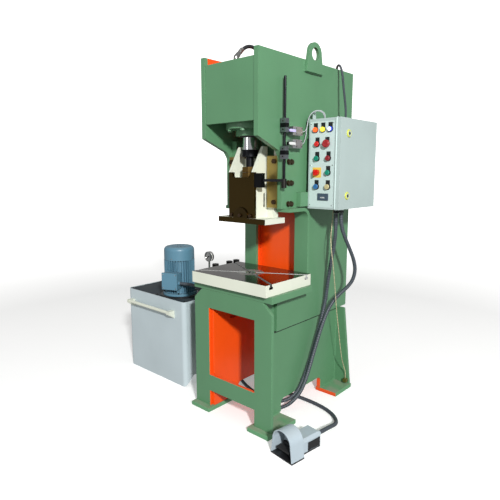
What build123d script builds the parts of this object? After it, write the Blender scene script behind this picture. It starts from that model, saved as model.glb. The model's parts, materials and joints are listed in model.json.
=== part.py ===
"""C-frame hydraulic press with its control panel, power pack and foot pedal.

Millimetres. X runs to the machine's right, Y to the rear from the head's front edge, Z up from the
floor, with X = 0 on the centre plane. The pieces are written out with the origin under the middle of
the whole machine.
"""

import os
from math import atan2, cos, degrees, pi, radians, sin, tan

from build123d import *

# Frame plates
frame_width = 410
plate_thickness = 28
frame_top = 2030
frame_rear = 912
nose_bottom = 1604
brow_end = (168, 1537)
guide_edge = 195
guide_edge_top = 1500
brow_radius = 40
throat_top = 1206
throat_face = 395
throat_flange_thickness = 20
throat_flange_width = 97
throat_flange_overhang = 40
throat_flange_front = 222
throat_bend = 45
jaw_front = 165
jaw_depth = 207
head_front_thickness = 20
head_front_setback = 4
head_front_bottom = 1680
head_front_drop = 40
web_thickness = 20
web_recess = 75
web_top = 1640
rear_plate_setback = 12
rear_plate_rise = 5
rear_plate_drop = 30

# Lifting lugs and panel brackets
lug_thickness = 20
lug_y = 464
lug_rise = 36
lug_hole_radius = 34
lug_radius = 62
lug_foot_width = 164
lug_foot_drop = 64
bracket_depth = 30
bracket_height = 80
bracket_wall = 4
bracket_rear = 740
bracket_fronts = (332, 420)
lower_bracket_rise = 12
upper_bracket_drop = 21

# Base
base_width = 600
base_plate_thickness = 20
base_front = 6
base_rear = 846
base_wall_inset = 18
base_wall_thickness = 28
base_arch_height = 102
base_arch_front = 236
base_arch_setback = 194
base_arch_radius = 30
portal_half_width = 177
portal_beam = 109
rail_top = 224
rail_bottom = 122
portal_chamfer = (60, 65)
rear_top_half_width = 244
rear_arch_half_width = 140
rear_arch_top = 350
pad_thickness = 25
pad_inner_overhang = 5
pad_outer_overhang = 7
front_pad = (-28, 221)
rear_pad_length = 196

earth_terminal = (280, 62)
earth_block = 24

# Table
table_top = 850
table_thickness = 65
table_width = 565
table_front = -24
table_rear = 376
support_thickness = 38
support_rear = 370
table_bore_radius = 20
table_ring_radius = 32
table_ring_depth = 6
slot_neck_width = 14
slot_neck_depth = 14
slot_foot_width = 26
slot_foot_depth = 12
slot_end_inset = 42

# Cylinder and ram
ram_y = 170
cylinder_bore_radius = 70
cylinder_wall = 35
flange_bolt_offset = 13
flange_rim = 14
cylinder_flange_bottom = 1653
cylinder_flange_thickness = 43
cylinder_top = 1962
cylinder_cap_thickness = 30
mount_plate_thickness = 50
mount_plate_rear = 330
gland_rim = 9
gland_thickness = 35
gland_spigot = 15
rod_radius = 41
rod_bottom = 1507
rod_collar_radius = 46
rod_collar_height = 38
piston_thickness = 52
piston_top_gap = 8
stud_radius = 22
fitting_radius = 14
cap_fitting_offset = (-45, -61)
cap_fitting_rise = 68
cap_fitting_elbow = 24
side_fitting_place = (40, 1790)
side_fitting_reach = 27
side_fitting_length = 50
running_clearance = 0.06
flange_bolt_count = 8
bolt_radius = 8
bolt_clearance = 0.5
hex_radius = 14
hex_height = 11

# Slide
slide_front = 96
slide_half_width = 94
slide_cheek = 18
face_plate_thickness = 20
face_plate_top = 1423
face_notch_bottom = 1395
face_notch_half_width = 66
face_notch_radius = 12
cheek_apex = (175, 1562)
slide_bottom = 1173
slide_flange_front = 210
slide_flange_thickness = 40
slide_flange_top = 1500
slide_clearance = 0.5
web_plate_top = 1391
web_plate_thickness = 30
nut_height = 30
nut_across_flats = 78
nut_gap = 1
platen_half_width = 176
platen_front = 93
platen_rear = 265
platen_thickness = 30
shank_radius = 25
shank_split = 1
clamp_half_width = 52
clamp_height = 58
clamp_front = 88
clamp_gap = 0.5
clamp_bolt_x = 70
clamp_bolt_rise = 14
clamp_bolt_radius = 11
cheek_slot = (182, 40, 10)

# Guides
gib_thickness = 20
gib_gap = 14
guide_block_width = 36.5
guide_block_backing = 19.5
guide_bottom = 1230
guide_top = 1510
guide_block_top = 1600
guide_bolt_rows = (1250, 1364, 1478)
guide_bolt_setbacks = (35, 9)
gib_bolt_rows = (1262, 1481)

# Stroke trip gear
trip_rod_radius = 7
trip_rod_stand = 23
trip_rod_y = 187
trip_rod_bottom = 1340
trip_rod_top = 1912
dog_size = (34, 30)
dog_spans = ((1629, 1700), (1491, 1558))
trip_block = ((98, 128), (1342, 1418), 50)
trip_arm_thickness = 14
trip_arm_width = 26
trip_arm_z = 1380
trip_clamp_radius = 14
trip_clamp_height = 48

# Limit switches
switch_standoff = 2
switch_depth = 36
switch_length = 86
switch_centres = (1640, 1573)
switch_height = 46
lever_length = 36
lever_thickness = 5
lever_gap = 0.6
lever_pin_radius = 4
lever_pin_length = 12
lever_pin_inset = 10
roller_radius = 9
roller_width = 16
roller_gap = 3
lever_waist = 4
switch_gland_stands = (23, 13)
switch_gland_radius = 5
switch_gland_length = 8
junction_place = (45, 1950)
junction_size = 60
junction_gland_y = 850
junction_gland_radius = 9
junction_gland_length = 15

# Control panel
panel_box_depth = 170
panel_front = 401
panel_rear = 803
panel_bottom = 1220
panel_height = 491
panel_wall = 2.5
ear_width = 30
ear_rise = 45
ear_thickness = 4
ear_hole_radius = 5
ear_insets = (50, 299)
ear_drop = 60
panel_door_gap = 1
panel_door_depth = 31
hinge_pin_radius = 4
hinge_knuckle_radius = 7
hinge_knuckle_height = 40
hinge_lug_height = 12
hinge_offset = (7, 9)
hinge_gap = 1
hinge_neck = 2
hinge_insets = (80, 81)
lock_setback = 82
lock_insets = (74, 81)
lock_slot = (3, 2)
lock_barrel_radius = 9
lock_head_radius = 14
lock_head_height = 5
lock_cam = (5, 16, 34)
collar_radius = 17
collar_thickness = 4
collar_shank_radius = 11
collar_length = 24
stem_radius = 8
button_radius = 14
button_cap = 8
button_travel = 4
button_gap = 1
stem_length = 20
lamp_radius = 13
lamp_height = 11
stop_radius = 21
stop_cap = 14
stop_travel = 5
knob_radius = 17
knob_height = 14
knob_grip = (10, 12)
legend_size = (27, 24)
legend_thickness = 1.5
legend_rise = 24
isolator_plate_size = 56
counter_size = (68, 38)
counter_thickness = 6
lamp_row_drop = 59
first_row = 124
row_count = 5
lamp_columns = (44, 92, 138)
left_column = 57
right_column = 130
stop_column = 120
counter_site = (101, 68)
lower_glands = (((83, 171), 15, 34), ((117, 171), 14, 30), ((45, 199), 6, 8))
upper_glands = (((65, 275), 10, 24), ((67, 54), 5, 6), ((51, 69), 5, 6))

# Power pack
tank_right = -510
tank_width = 625
tank_front = 95
tank_depth = 700
tank_height = 585
tank_wall = 5
tank_round = 30
tank_floor = 66
tank_skirt_run = 74
tank_ledge = 15
lid_thickness = 8
lid_gap = 1
lid_drop = 2
handle_radius = 11
handle_drop = 83
handle_standoff = 34
handle_insets = (45, 98)
handle_foot_width = 34
handle_foot_drop = 40
motor_inset = (203, 140)
motor_flange_radius = 116
motor_flange_thickness = 26
motor_core_radius = 84
motor_fin_radius = 104
motor_fin_count = 36
motor_fin_thickness = 4
motor_fin_root = 4
motor_body_height = 248
motor_wall = 10
cowl_radius = 103
cowl_wall = 3
cowl_height = 69
cowl_round = 26
cowl_overlap = 22
cowl_slot_circle = 45
cowl_slot_count = 14
cowl_slot = (46, 5)
rotor_radius = 60
rotor_span = (31, 161)
shaft_radius = 14
shaft_drop = 113
fan_radius = 88
fan_blade_count = 8
fan_span = (14, 54)
fan_plate = 6
fan_blade_thickness = 4
fan_blade_root = 8
fan_blade_tip = 84
terminal_box = (108, 62, 108)
terminal_box_turn = 22
terminal_box_rise = 41
terminal_box_root = 20
terminal_gland = (31, 40)
terminal_gland_radius = 13
terminal_gland_length = 12
pump_size = (110, 130)
pump_drop = 20
manifold_inset = 90
manifold_width = 100
manifold_start = 345
manifold_length = 340
manifold_height = 110
valve_cap_setbacks = (80, 225, 300)
valve_cap_radius = 24
valve_cap_height = 72
manifold_ports = ((132, 57), (200, 57))
manifold_fitting_length = 22
gauge_setback = 18
gauge_rise = 135
gauge_radius = 36
gauge_depth = 26
gauge_rim = 4
gauge_recess = 6
gauge_stem_radius = 7
needle_length = 24
needle_thickness = 1.2
needle_pin_radius = 2
needle_pin_length = 6
needle_width = 3
needle_stand = 1.5
needle_rest = 135

# Foot pedal
pedal_place = (452, -101)
pedal_turn = -8
pedal_base_thickness = 8
hood_half_width = 76
hood_radius = 66
hood_centre = 86
hood_depth = 90
hood_wall = 6
pedal_length = 236
body_half_width = 52
body_height = 80
body_chamfer = 14
body_front = 84
body_wall = 6
side_panel = ((140, 230), (12, 58), 3)
treadle_half_width = 44
treadle_front = 10
treadle_thickness = 8
treadle_pivot = (70, 42)
treadle_pin_radius = 5
treadle_boss_radius = 10
pedal_cheek_thickness = 7
pedal_cheek_gap = 1
pedal_gland = (25, 56)
pedal_gland_radius = 12
pedal_gland_length = 22

# Cords: diameter and the points of each route, chosen by hand
motor_cable_diameter = 22
motor_cable_route = (
    (318, 572, 1186), (318, 572, 1130), (312, 582, 1050), (296, 592, 973), (275, 602, 890), (250, 613, 765),
    (236, 616, 651), (229, 598, 560), (223, 562, 451), (220, 524, 363), (218, 487, 285), (216, 446, 212),
    (213, 404, 150), (206, 366, 102), (180, 326, 66), (132, 294, 46), (60, 278, 38), (-40, 288, 36),
    (-130, 322, 30), (-212, 366, 17), (-292, 408, 14), (-362, 440, 38), (-412, 456, 104), (-436, 450, 196),
    (-445, 424, 296), (-448, 386, 396), (-448.5, 350, 484), (-448, 318, 554), (-450, 281, 604.6),
    (-461, 252.6, 636.3), (-482.9, 224.5, 662.2), (-513.4, 198.7, 680.5),
)
motor_cable_lead = 62
pedal_cable_diameter = 22
pedal_cable_route = (
    (352, 572, 1190), (352, 572, 1140), (357, 588, 1080), (366, 620, 1020), (375, 655, 958), (382, 690, 894),
    (383, 708, 830), (370, 705, 768), (342, 690, 722), (308, 664, 682), (278, 628, 632), (259, 594, 566),
    (249, 558, 488), (243, 520, 400), (240, 482, 316), (239, 443, 236), (238, 403, 164), (231, 363, 107),
    (206, 318, 59), (168, 282, 25), (122, 258, 12.5), (64, 246, 11.5), (6, 260, 11.5), (-37, 302, 11.5),
    (-50, 360, 11.5), (-32, 417, 11.5), (13, 457, 11.5), (75, 472, 11.5), (148, 476, 11.5),
    (228, 477, 11.5), (306, 469, 11.5), (378, 451, 11.5), (440, 419, 11.5), (486, 370, 15),
    (511, 312, 33), (521, 256, 50),
)
pedal_cable_lead = 50
head_conduit_diameter = 13
head_conduit_route = (
    (60, 850, 1950), (112, 850, 1950), (148, 826, 1984), (162, 784, 2032), (192, 744, 2058), (230, 714, 2046),
    (255, 698, 2000), (267, 690, 1944), (279, 684, 1888), (291, 679, 1830), (300, 676, 1780),
    (300, 676, 1735),
)
earth_wire_diameter = 6.5
earth_wire_route = (
    (280, 600, 1212), (280, 600, 1160), (283, 586, 1100), (292, 562, 1040), (307, 548, 975), (318, 552, 900),
    (318, 577, 785),
    (312, 606, 668), (307, 630, 583), (303, 652, 512), (300, 674, 440), (294, 708, 330), (288, 746, 220),
    (283, 788, 148), (280, 814, 106), (280, 814, 62),
)
switch_cable_diameter = 5
upper_switch_route = (
    (228, 334, 1640), (228, 356, 1640), (229, 378, 1651), (230, 389, 1678), (232, 393, 1710),
    (242, 401, 1740), (262, 418, 1758), (286, 440, 1758), (302, 455, 1741), (302, 455, 1717),
)
lower_switch_route = (
    (218, 334, 1573), (218, 356, 1573), (218, 376, 1584), (219, 390, 1612), (220, 396, 1650),
    (220, 402, 1690), (224, 412, 1726), (238, 426, 1750), (258, 444, 1760), (278, 461, 1753),
    (286, 470, 1736), (286, 470, 1717),
)
hose_diameter = 20
cap_hose_lead = 55
cap_hose_route = (
    (-46, 220, 2109), (-48, 282, 2103), (-50, 340, 2070), (-52, 388, 2012), (-54, 428, 1932),
    (-57, 474, 1840), (-60, 530, 1748), (-62, 576, 1652), (-64, 606, 1540), (-68, 622, 1410),
    (-72, 630, 1260), (-76, 632, 1090), (-80, 630, 920), (-84, 624, 750), (-88, 616, 590), (-92, 606, 440),
    (-97, 596, 310), (-108, 584, 205), (-134, 572, 116), (-186, 564, 50), (-256, 562, 20), (-330, 566, 20),
    (-386, 570, 52), (-412, 574, 116), (-417, 576, 206), (-414, 577, 320), (-415, 576, 430),
    (-420, 575, 506), (-438, 574, 572), (-474, 573, 619), (-528, 572, 640), (-578, 572, 640),
)
side_hose_route = (
    (40, 302, 1790), (40, 356, 1790), (41, 416, 1780), (44, 476, 1752), (48, 532, 1704), (52, 578, 1636),
    (56, 608, 1548), (58, 626, 1420), (56, 633, 1260), (52, 633, 1090), (46, 630, 920), (38, 626, 750),
    (28, 620, 590), (14, 612, 440), (-4, 604, 320), (-30, 598, 215), (-72, 596, 130), (-134, 598, 66),
    (-206, 606, 28), (-280, 616, 18), (-342, 626, 40), (-384, 634, 92), (-402, 639, 168), (-403, 642, 280),
    (-403, 643, 400), (-410, 642, 498), (-430, 641, 568), (-470, 640, 618), (-524, 640, 640),
    (-578, 640, 640),
)
arc_share = 0.45

pieces = {}


def keep(name, part):
    """Names a finished piece and files it for writing."""
    part.label = name
    pieces[name] = part


def slab(low, high, mode=Mode.ADD):
    """Adds a box between two corners to the part in hand."""
    with Locations(tuple((a + b) / 2 for a, b in zip(low, high))):
        Box(*[b - a for a, b in zip(low, high)], mode=mode)


def upright(place, bottom, top, radius, mode=Mode.ADD):
    """Adds a vertical cylinder at a plan position to the part in hand."""
    with Locations((*place, (bottom + top) / 2)):
        Cylinder(radius, top - bottom, mode=mode)


# Heights and half widths that several pieces share
outer_half = frame_width / 2
inner_half = outer_half - plate_thickness
throat_edge = throat_face + throat_flange_thickness
upper_jaw_bottom = throat_top + throat_flange_thickness
support_top = table_top - table_thickness
jaw_top = support_top - support_thickness
jaw_bottom = jaw_top - jaw_depth
slide_flange_half_width = inner_half - guide_block_width - slide_clearance
gib_inner = slide_half_width + gib_gap
gib_back = slide_flange_front - slide_clearance
gib_front = gib_back - gib_thickness
slide_flange_back = slide_flange_front + slide_flange_thickness
wear_strip_front = slide_flange_back + slide_clearance
wear_strip_back = wear_strip_front + gib_thickness
guide_block_inner = slide_flange_half_width + slide_clearance
guide_block_rear = wear_strip_back + guide_block_backing
bolt_hole_radius = bolt_radius + bolt_clearance
guide_bolt_sites = [(guide_block_rear - y, z) for y in guide_bolt_setbacks for z in guide_bolt_rows]
gib_bolt_sites = [((guide_block_inner + inner_half) / 2, z) for z in gib_bolt_rows]
guide_bolt_hold = guide_block_width / 3
panel_back = outer_half + bracket_depth
base_wall_outer = outer_half - base_wall_inset
panel_top = panel_bottom + panel_height


def side_plate(start):
    """One C-shaped frame plate, with the clearance holes of the guide bolts."""
    with BuildPart() as plate:
        with BuildSketch(Plane.YZ.offset(start)) as outline:
            with BuildLine():
                Polyline(
                    (0, nose_bottom),
                    (0, frame_top),
                    (frame_rear, frame_top),
                    (frame_rear, jaw_bottom),
                    (jaw_front, jaw_bottom),
                    (jaw_front, jaw_top),
                    (throat_edge, jaw_top),
                    (throat_edge, upper_jaw_bottom),
                    (guide_edge, upper_jaw_bottom),
                    (guide_edge, guide_edge_top),
                    brow_end,
                    close=True,
                )
            make_face()
            corners = outline.vertices()
            fillet(
                corners.sort_by_distance((throat_edge, upper_jaw_bottom))[0],
                throat_bend + throat_flange_thickness,
            )
            fillet(outline.vertices().sort_by_distance((guide_edge, guide_edge_top))[0], brow_radius)
        extrude(amount=plate_thickness)
        with BuildSketch(Plane.YZ.offset(start)):
            with Locations(*guide_bolt_sites):
                Circle(bolt_hole_radius)
        extrude(amount=plate_thickness, mode=Mode.SUBTRACT)
    return plate.part


keep("side_plate_left", side_plate(-outer_half))
keep("side_plate_right", side_plate(inner_half))

with BuildPart() as head_front_plate:
    slab(
        (-inner_half, head_front_setback, head_front_bottom),
        (inner_half, head_front_setback + head_front_thickness, frame_top - head_front_drop),
    )
keep("head_front_plate", head_front_plate.part)

flange_outer = outer_half + throat_flange_overhang
with BuildPart() as throat_flanges:
    with BuildSketch(Plane.YZ.offset(flange_outer - throat_flange_width)) as bent_strip:
        with BuildLine():
            Polyline(
                (throat_flange_front, upper_jaw_bottom),
                (throat_edge, upper_jaw_bottom),
                (throat_edge, jaw_top),
                (throat_face, jaw_top),
                (throat_face, throat_top),
                (throat_flange_front, throat_top),
                close=True,
            )
        make_face()
        fillet(
            bent_strip.vertices().sort_by_distance((throat_edge, upper_jaw_bottom))[0],
            throat_bend + throat_flange_thickness,
        )
        fillet(bent_strip.vertices().sort_by_distance((throat_face, throat_top))[0], throat_bend)
    extrude(amount=throat_flange_width)
    mirror(about=Plane.YZ)
keep("throat_flanges", throat_flanges.part)

with BuildPart() as column_web:
    web_front = throat_face + web_recess
    slab((-inner_half, web_front, jaw_bottom), (inner_half, web_front + web_thickness, web_top))
keep("column_web", column_web.part)

with BuildPart() as column_rear_plate:
    rear_back = frame_rear - rear_plate_setback
    slab(
        (-inner_half, rear_back - web_thickness, jaw_bottom + rear_plate_rise),
        (inner_half, rear_back, frame_top - rear_plate_drop),
    )
keep("column_rear_plate", column_rear_plate.part)

# Lifting lugs on both side plates, and the rectangular tubes that carry the control panel on the right one
lug_centre = (lug_y, frame_top + lug_rise)
lug_foot_bottom = frame_top - lug_foot_drop
bracket_bottoms = (panel_bottom + lower_bracket_rise, panel_top - upper_bracket_drop - bracket_height)
with BuildPart() as frame_brackets:
    with BuildSketch(Plane.YZ.offset(outer_half)):
        with BuildLine():
            Polyline(
                (lug_centre[0] - lug_foot_width / 2, lug_foot_bottom),
                (lug_centre[0] + lug_foot_width / 2, lug_foot_bottom),
                (lug_centre[0] + lug_radius, lug_centre[1]),
                (lug_centre[0] - lug_radius, lug_centre[1]),
                close=True,
            )
        make_face()
        with Locations(lug_centre):
            Circle(lug_radius)
            Circle(lug_hole_radius, mode=Mode.SUBTRACT)
    extrude(amount=lug_thickness)
    mirror(about=Plane.YZ)
    for bracket_front, bottom in zip(bracket_fronts, bracket_bottoms):
        slab((outer_half, bracket_front, bottom), (panel_back, bracket_rear, bottom + bracket_height))
        slab(
            (outer_half + bracket_wall, bracket_front + bracket_wall, bottom + bracket_wall),
            (panel_back - bracket_wall, bracket_rear, bottom + bracket_height - bracket_wall),
            Mode.SUBTRACT,
        )
    ear_centre = panel_top + ear_rise - ear_width / 2
    ear_bottom = panel_top - ear_drop
    with BuildSketch(Plane.YZ.offset(panel_back)):
        for inset in ear_insets:
            with Locations((panel_front + inset, (ear_bottom + ear_centre) / 2)):
                Rectangle(ear_width, ear_centre - ear_bottom)
            with Locations((panel_front + inset, ear_centre)):
                Circle(ear_width / 2)
                Circle(ear_hole_radius, mode=Mode.SUBTRACT)
    extrude(amount=-ear_thickness)
keep("frame_brackets", frame_brackets.part)

# Base stand
base_wall_front = base_front + base_plate_thickness
base_wall_rear = base_rear - base_plate_thickness
base_arch_rear = base_rear - base_arch_setback
portal_top = jaw_top - portal_beam
pad_inner = base_wall_outer - base_wall_thickness - pad_inner_overhang
pad_outer = base_width / 2 + pad_outer_overhang
with BuildPart() as base_side_plates:
    with BuildSketch(Plane.YZ.offset(base_wall_outer - base_wall_thickness)) as wall_outline:
        with BuildLine():
            Polyline(
                (base_wall_front, pad_thickness),
                (base_wall_front, jaw_top),
                (jaw_front, jaw_top),
                (jaw_front, jaw_bottom),
                (base_wall_rear, jaw_bottom),
                (base_wall_rear, pad_thickness),
                (base_arch_rear, pad_thickness),
                (base_arch_rear, base_arch_height),
                (base_arch_front, base_arch_height),
                (base_arch_front, pad_thickness),
                close=True,
            )
        make_face()
        for arch_y in (base_arch_front, base_arch_rear):
            fillet(wall_outline.vertices().sort_by_distance((arch_y, base_arch_height))[0], base_arch_radius)
    extrude(amount=base_wall_thickness)
    mirror(about=Plane.YZ)
keep("base_side_plates", base_side_plates.part)

with BuildPart() as base_end_plates:
    with BuildSketch(Plane.XZ.offset(-base_wall_front)) as portal:
        with Locations((0, (pad_thickness + jaw_top) / 2)):
            Rectangle(base_width, jaw_top - pad_thickness)
        chamfer(portal.vertices().group_by(Axis.Y)[-1], portal_chamfer[0], portal_chamfer[1])
        with Locations((0, (rail_top + portal_top) / 2)):
            Rectangle(2 * portal_half_width, portal_top - rail_top, mode=Mode.SUBTRACT)
        with Locations((0, (pad_thickness + rail_bottom) / 2)):
            Rectangle(2 * portal_half_width, rail_bottom - pad_thickness, mode=Mode.SUBTRACT)
    extrude(amount=base_plate_thickness)
    with BuildSketch(Plane.XZ.offset(-base_rear)) as rear_outline:
        with BuildLine():
            Polyline(
                (-base_width / 2, pad_thickness),
                (base_width / 2, pad_thickness),
                (rear_top_half_width, jaw_bottom),
                (-rear_top_half_width, jaw_bottom),
                close=True,
            )
        make_face()
        with Locations((0, (pad_thickness + rear_arch_top) / 2)):
            Rectangle(2 * rear_arch_half_width, rear_arch_top - pad_thickness, mode=Mode.SUBTRACT)
    extrude(amount=base_plate_thickness)
keep("base_end_plates", base_end_plates.part)

with BuildPart() as foot_pads:
    for pad_start, pad_end in (front_pad, (base_rear - rear_pad_length, base_rear)):
        slab((pad_inner, pad_start, 0), (pad_outer, pad_end, pad_thickness))
        slab((-pad_outer, pad_start, 0), (-pad_inner, pad_end, pad_thickness))
keep("foot_pads", foot_pads.part)

# Table with two crossing T slots and a centre bore
with BuildPart() as table_support_plate:
    slab((-base_width / 2, base_front, jaw_top), (base_width / 2, support_rear, support_top))
    upright((0, (table_front + table_rear) / 2), jaw_top, support_top, table_ring_radius, Mode.SUBTRACT)
keep("table_support_plate", table_support_plate.part)

table_y = (table_front + table_rear) / 2
slot_angle = degrees(atan2((table_rear - table_front) / 2 - slot_end_inset, table_width / 2))
with BuildPart() as table:
    slab((-table_width / 2, table_front, support_top), (table_width / 2, table_rear, table_top))
    slot_length = 2 * table_width
    for turn in (slot_angle, -slot_angle):
        with BuildSketch(Plane((0, table_y, table_top), x_dir=(cos(radians(turn)), sin(radians(turn)), 0))):
            Rectangle(slot_length, slot_neck_width)
        extrude(amount=-slot_neck_depth, mode=Mode.SUBTRACT)
        slot_floor = table_top - slot_neck_depth
        with BuildSketch(Plane((0, table_y, slot_floor), x_dir=(cos(radians(turn)), sin(radians(turn)), 0))):
            Rectangle(slot_length, slot_foot_width)
        extrude(amount=-slot_foot_depth, mode=Mode.SUBTRACT)
    upright((0, table_y), support_top, table_top, table_bore_radius, Mode.SUBTRACT)
    upright((0, table_y), table_top - table_ring_depth, table_top, table_ring_radius, Mode.SUBTRACT)
keep("table", table.part)

# Slide guides
with BuildPart() as guide_blocks:
    slab((guide_block_inner, gib_back, guide_bottom), (inner_half, guide_block_rear, guide_block_top))
    slab((gib_inner, wear_strip_back, guide_bottom), (guide_block_inner, guide_block_rear, guide_block_top))
    with BuildSketch(Plane.YZ.offset(inner_half)):
        with Locations(*guide_bolt_sites):
            Circle(bolt_hole_radius)
    extrude(amount=-guide_block_width / 2, mode=Mode.SUBTRACT)
    with BuildSketch(Plane.XZ.offset(-gib_back)):
        with Locations(*gib_bolt_sites):
            Circle(bolt_hole_radius)
    extrude(amount=-gib_thickness, mode=Mode.SUBTRACT)
    mirror(about=Plane.YZ)
keep("guide_blocks", guide_blocks.part)

with BuildPart() as guide_gibs:
    slab((gib_inner, gib_front, guide_bottom), (inner_half, gib_back, guide_top))
    with BuildSketch(Plane.XZ.offset(-gib_back)):
        with Locations(*gib_bolt_sites):
            Circle(bolt_hole_radius)
    extrude(amount=gib_thickness, mode=Mode.SUBTRACT)
    slab((gib_inner, wear_strip_front, guide_bottom), (guide_block_inner, wear_strip_back, guide_top))
    mirror(about=Plane.YZ)
keep("guide_gibs", guide_gibs.part)

# Cylinder
mount_plate_bottom = cylinder_flange_bottom + cylinder_flange_thickness
mount_plate_top = mount_plate_bottom + mount_plate_thickness
barrel_radius = cylinder_bore_radius + cylinder_wall
flange_bolt_circle = barrel_radius + flange_bolt_offset
cylinder_flange_radius = flange_bolt_circle + flange_rim
bore_top = cylinder_top - cylinder_cap_thickness
bolt_depth = mount_plate_thickness / 2
axis = (0, ram_y)


def flange_bolt_circle_at(height):
    """The eight flange bolts' places, on a level plane."""
    return Plane((*axis, height))


with BuildPart() as cylinder_mount_plate:
    slab(
        (-inner_half, head_front_setback + head_front_thickness, mount_plate_bottom),
        (inner_half, mount_plate_rear, mount_plate_top),
    )
    upright(axis, mount_plate_bottom, mount_plate_top, barrel_radius + bolt_clearance, Mode.SUBTRACT)
    with BuildSketch(flange_bolt_circle_at(mount_plate_bottom)):
        with PolarLocations(flange_bolt_circle, flange_bolt_count, start_angle=180 / flange_bolt_count):
            Circle(bolt_hole_radius)
    extrude(amount=bolt_depth, mode=Mode.SUBTRACT)
keep("cylinder_mount_plate", cylinder_mount_plate.part)

with BuildPart() as cylinder_barrel:
    upright(axis, cylinder_flange_bottom, mount_plate_bottom, cylinder_flange_radius)
    upright(axis, mount_plate_bottom, cylinder_top, barrel_radius)
    with BuildSketch(flange_bolt_circle_at(cylinder_flange_bottom)):
        with PolarLocations(flange_bolt_circle, flange_bolt_count, start_angle=180 / flange_bolt_count):
            Circle(bolt_hole_radius)
    extrude(amount=cylinder_flange_thickness, mode=Mode.SUBTRACT)
    cap_fitting_place = (cap_fitting_offset[0], ram_y + cap_fitting_offset[1])
    elbow_base = (*cap_fitting_place, cylinder_top + cap_fitting_rise)
    upright(cap_fitting_place, cylinder_top, cylinder_top + cap_fitting_rise, fitting_radius)
    with Locations(elbow_base):
        Sphere(fitting_radius)
    with BuildSketch(Plane(elbow_base, z_dir=(0, 1, 1))):
        Circle(fitting_radius)
    extrude(amount=cap_fitting_elbow)
    with BuildSketch(Plane.XZ.offset(-(ram_y + barrel_radius + side_fitting_reach))):
        with Locations(side_fitting_place):
            Circle(fitting_radius)
    extrude(amount=side_fitting_length)
    upright(axis, cylinder_flange_bottom, bore_top, cylinder_bore_radius, Mode.SUBTRACT)
keep("cylinder_barrel", cylinder_barrel.part)

with BuildPart() as cylinder_gland:
    gland_radius = cylinder_bore_radius + gland_rim
    upright(axis, cylinder_flange_bottom - gland_thickness, cylinder_flange_bottom, gland_radius)
    upright(
        axis,
        cylinder_flange_bottom,
        cylinder_flange_bottom + gland_spigot,
        cylinder_bore_radius - running_clearance,
    )
    upright(
        axis,
        cylinder_flange_bottom - gland_thickness,
        cylinder_flange_bottom + gland_spigot,
        rod_radius + running_clearance,
        Mode.SUBTRACT,
    )
keep("cylinder_gland", cylinder_gland.part)

# Bolts of the frame: guide bolts, gib bolts, cylinder flange bolts and the earth terminal
with BuildPart() as frame_bolts:
    with BuildSketch(Plane.YZ.offset(outer_half)):
        with Locations(*guide_bolt_sites):
            RegularPolygon(hex_radius, 6)
    extrude(amount=hex_height)
    with BuildSketch(Plane.YZ.offset(outer_half)):
        with Locations(*guide_bolt_sites):
            Circle(bolt_radius)
    extrude(amount=-(plate_thickness + guide_bolt_hold))
    with BuildSketch(Plane.XZ.offset(-gib_front)):
        with Locations(*gib_bolt_sites):
            RegularPolygon(hex_radius, 6)
    extrude(amount=hex_height)
    with BuildSketch(Plane.XZ.offset(-gib_front)):
        with Locations(*gib_bolt_sites):
            Circle(bolt_radius)
    extrude(amount=-(gib_thickness + gib_thickness / 2))
    mirror(about=Plane.YZ)
    with BuildSketch(flange_bolt_circle_at(cylinder_flange_bottom)):
        with PolarLocations(flange_bolt_circle, flange_bolt_count, start_angle=180 / flange_bolt_count):
            RegularPolygon(hex_radius, 6)
    extrude(amount=-hex_height)
    with BuildSketch(flange_bolt_circle_at(cylinder_flange_bottom)):
        with PolarLocations(flange_bolt_circle, flange_bolt_count, start_angle=180 / flange_bolt_count):
            Circle(bolt_radius)
    extrude(amount=cylinder_flange_thickness + bolt_depth / 2)
    terminal_x, terminal_z = earth_terminal
    slab(
        (terminal_x - earth_block / 2, base_wall_rear - earth_block, terminal_z - earth_block),
        (terminal_x + earth_block / 2, base_wall_rear, terminal_z),
    )
keep("frame_bolts", frame_bolts.part)

# Ram: piston and rod, locking nuts, slide, face plate, platen and tool clamp
piston_top = bore_top - piston_top_gap
web_plate_bottom = web_plate_top - web_plate_thickness
with BuildPart() as piston_rod:
    upright(axis, piston_top - piston_thickness, piston_top, cylinder_bore_radius - running_clearance)
    upright(axis, rod_bottom, piston_top - piston_thickness, rod_radius)
    upright(axis, rod_bottom, rod_bottom + rod_collar_height, rod_collar_radius)
    upright(axis, web_plate_bottom - nut_height, rod_bottom, stud_radius)
keep("piston_rod", piston_rod.part)

clamp_bolt_z = slide_bottom + clamp_bolt_rise
with BuildPart() as slide_fasteners:
    for nut_bottom in (web_plate_top, web_plate_top + nut_height + nut_gap, web_plate_bottom - nut_height):
        with BuildSketch(Plane((*axis, nut_bottom))):
            RegularPolygon(nut_across_flats / 2, 6, major_radius=False)
            Circle(stud_radius + running_clearance, mode=Mode.SUBTRACT)
        extrude(amount=nut_height)
    for bolt_x, bolt_seat in ((-clamp_bolt_x, slide_front), (0, clamp_front), (clamp_bolt_x, slide_front)):
        with BuildSketch(Plane.XZ.offset(-bolt_seat)):
            with Locations((bolt_x, clamp_bolt_z)):
                RegularPolygon(clamp_bolt_radius, 6)
        extrude(amount=hex_height)
keep("slide_fasteners", slide_fasteners.part)

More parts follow.
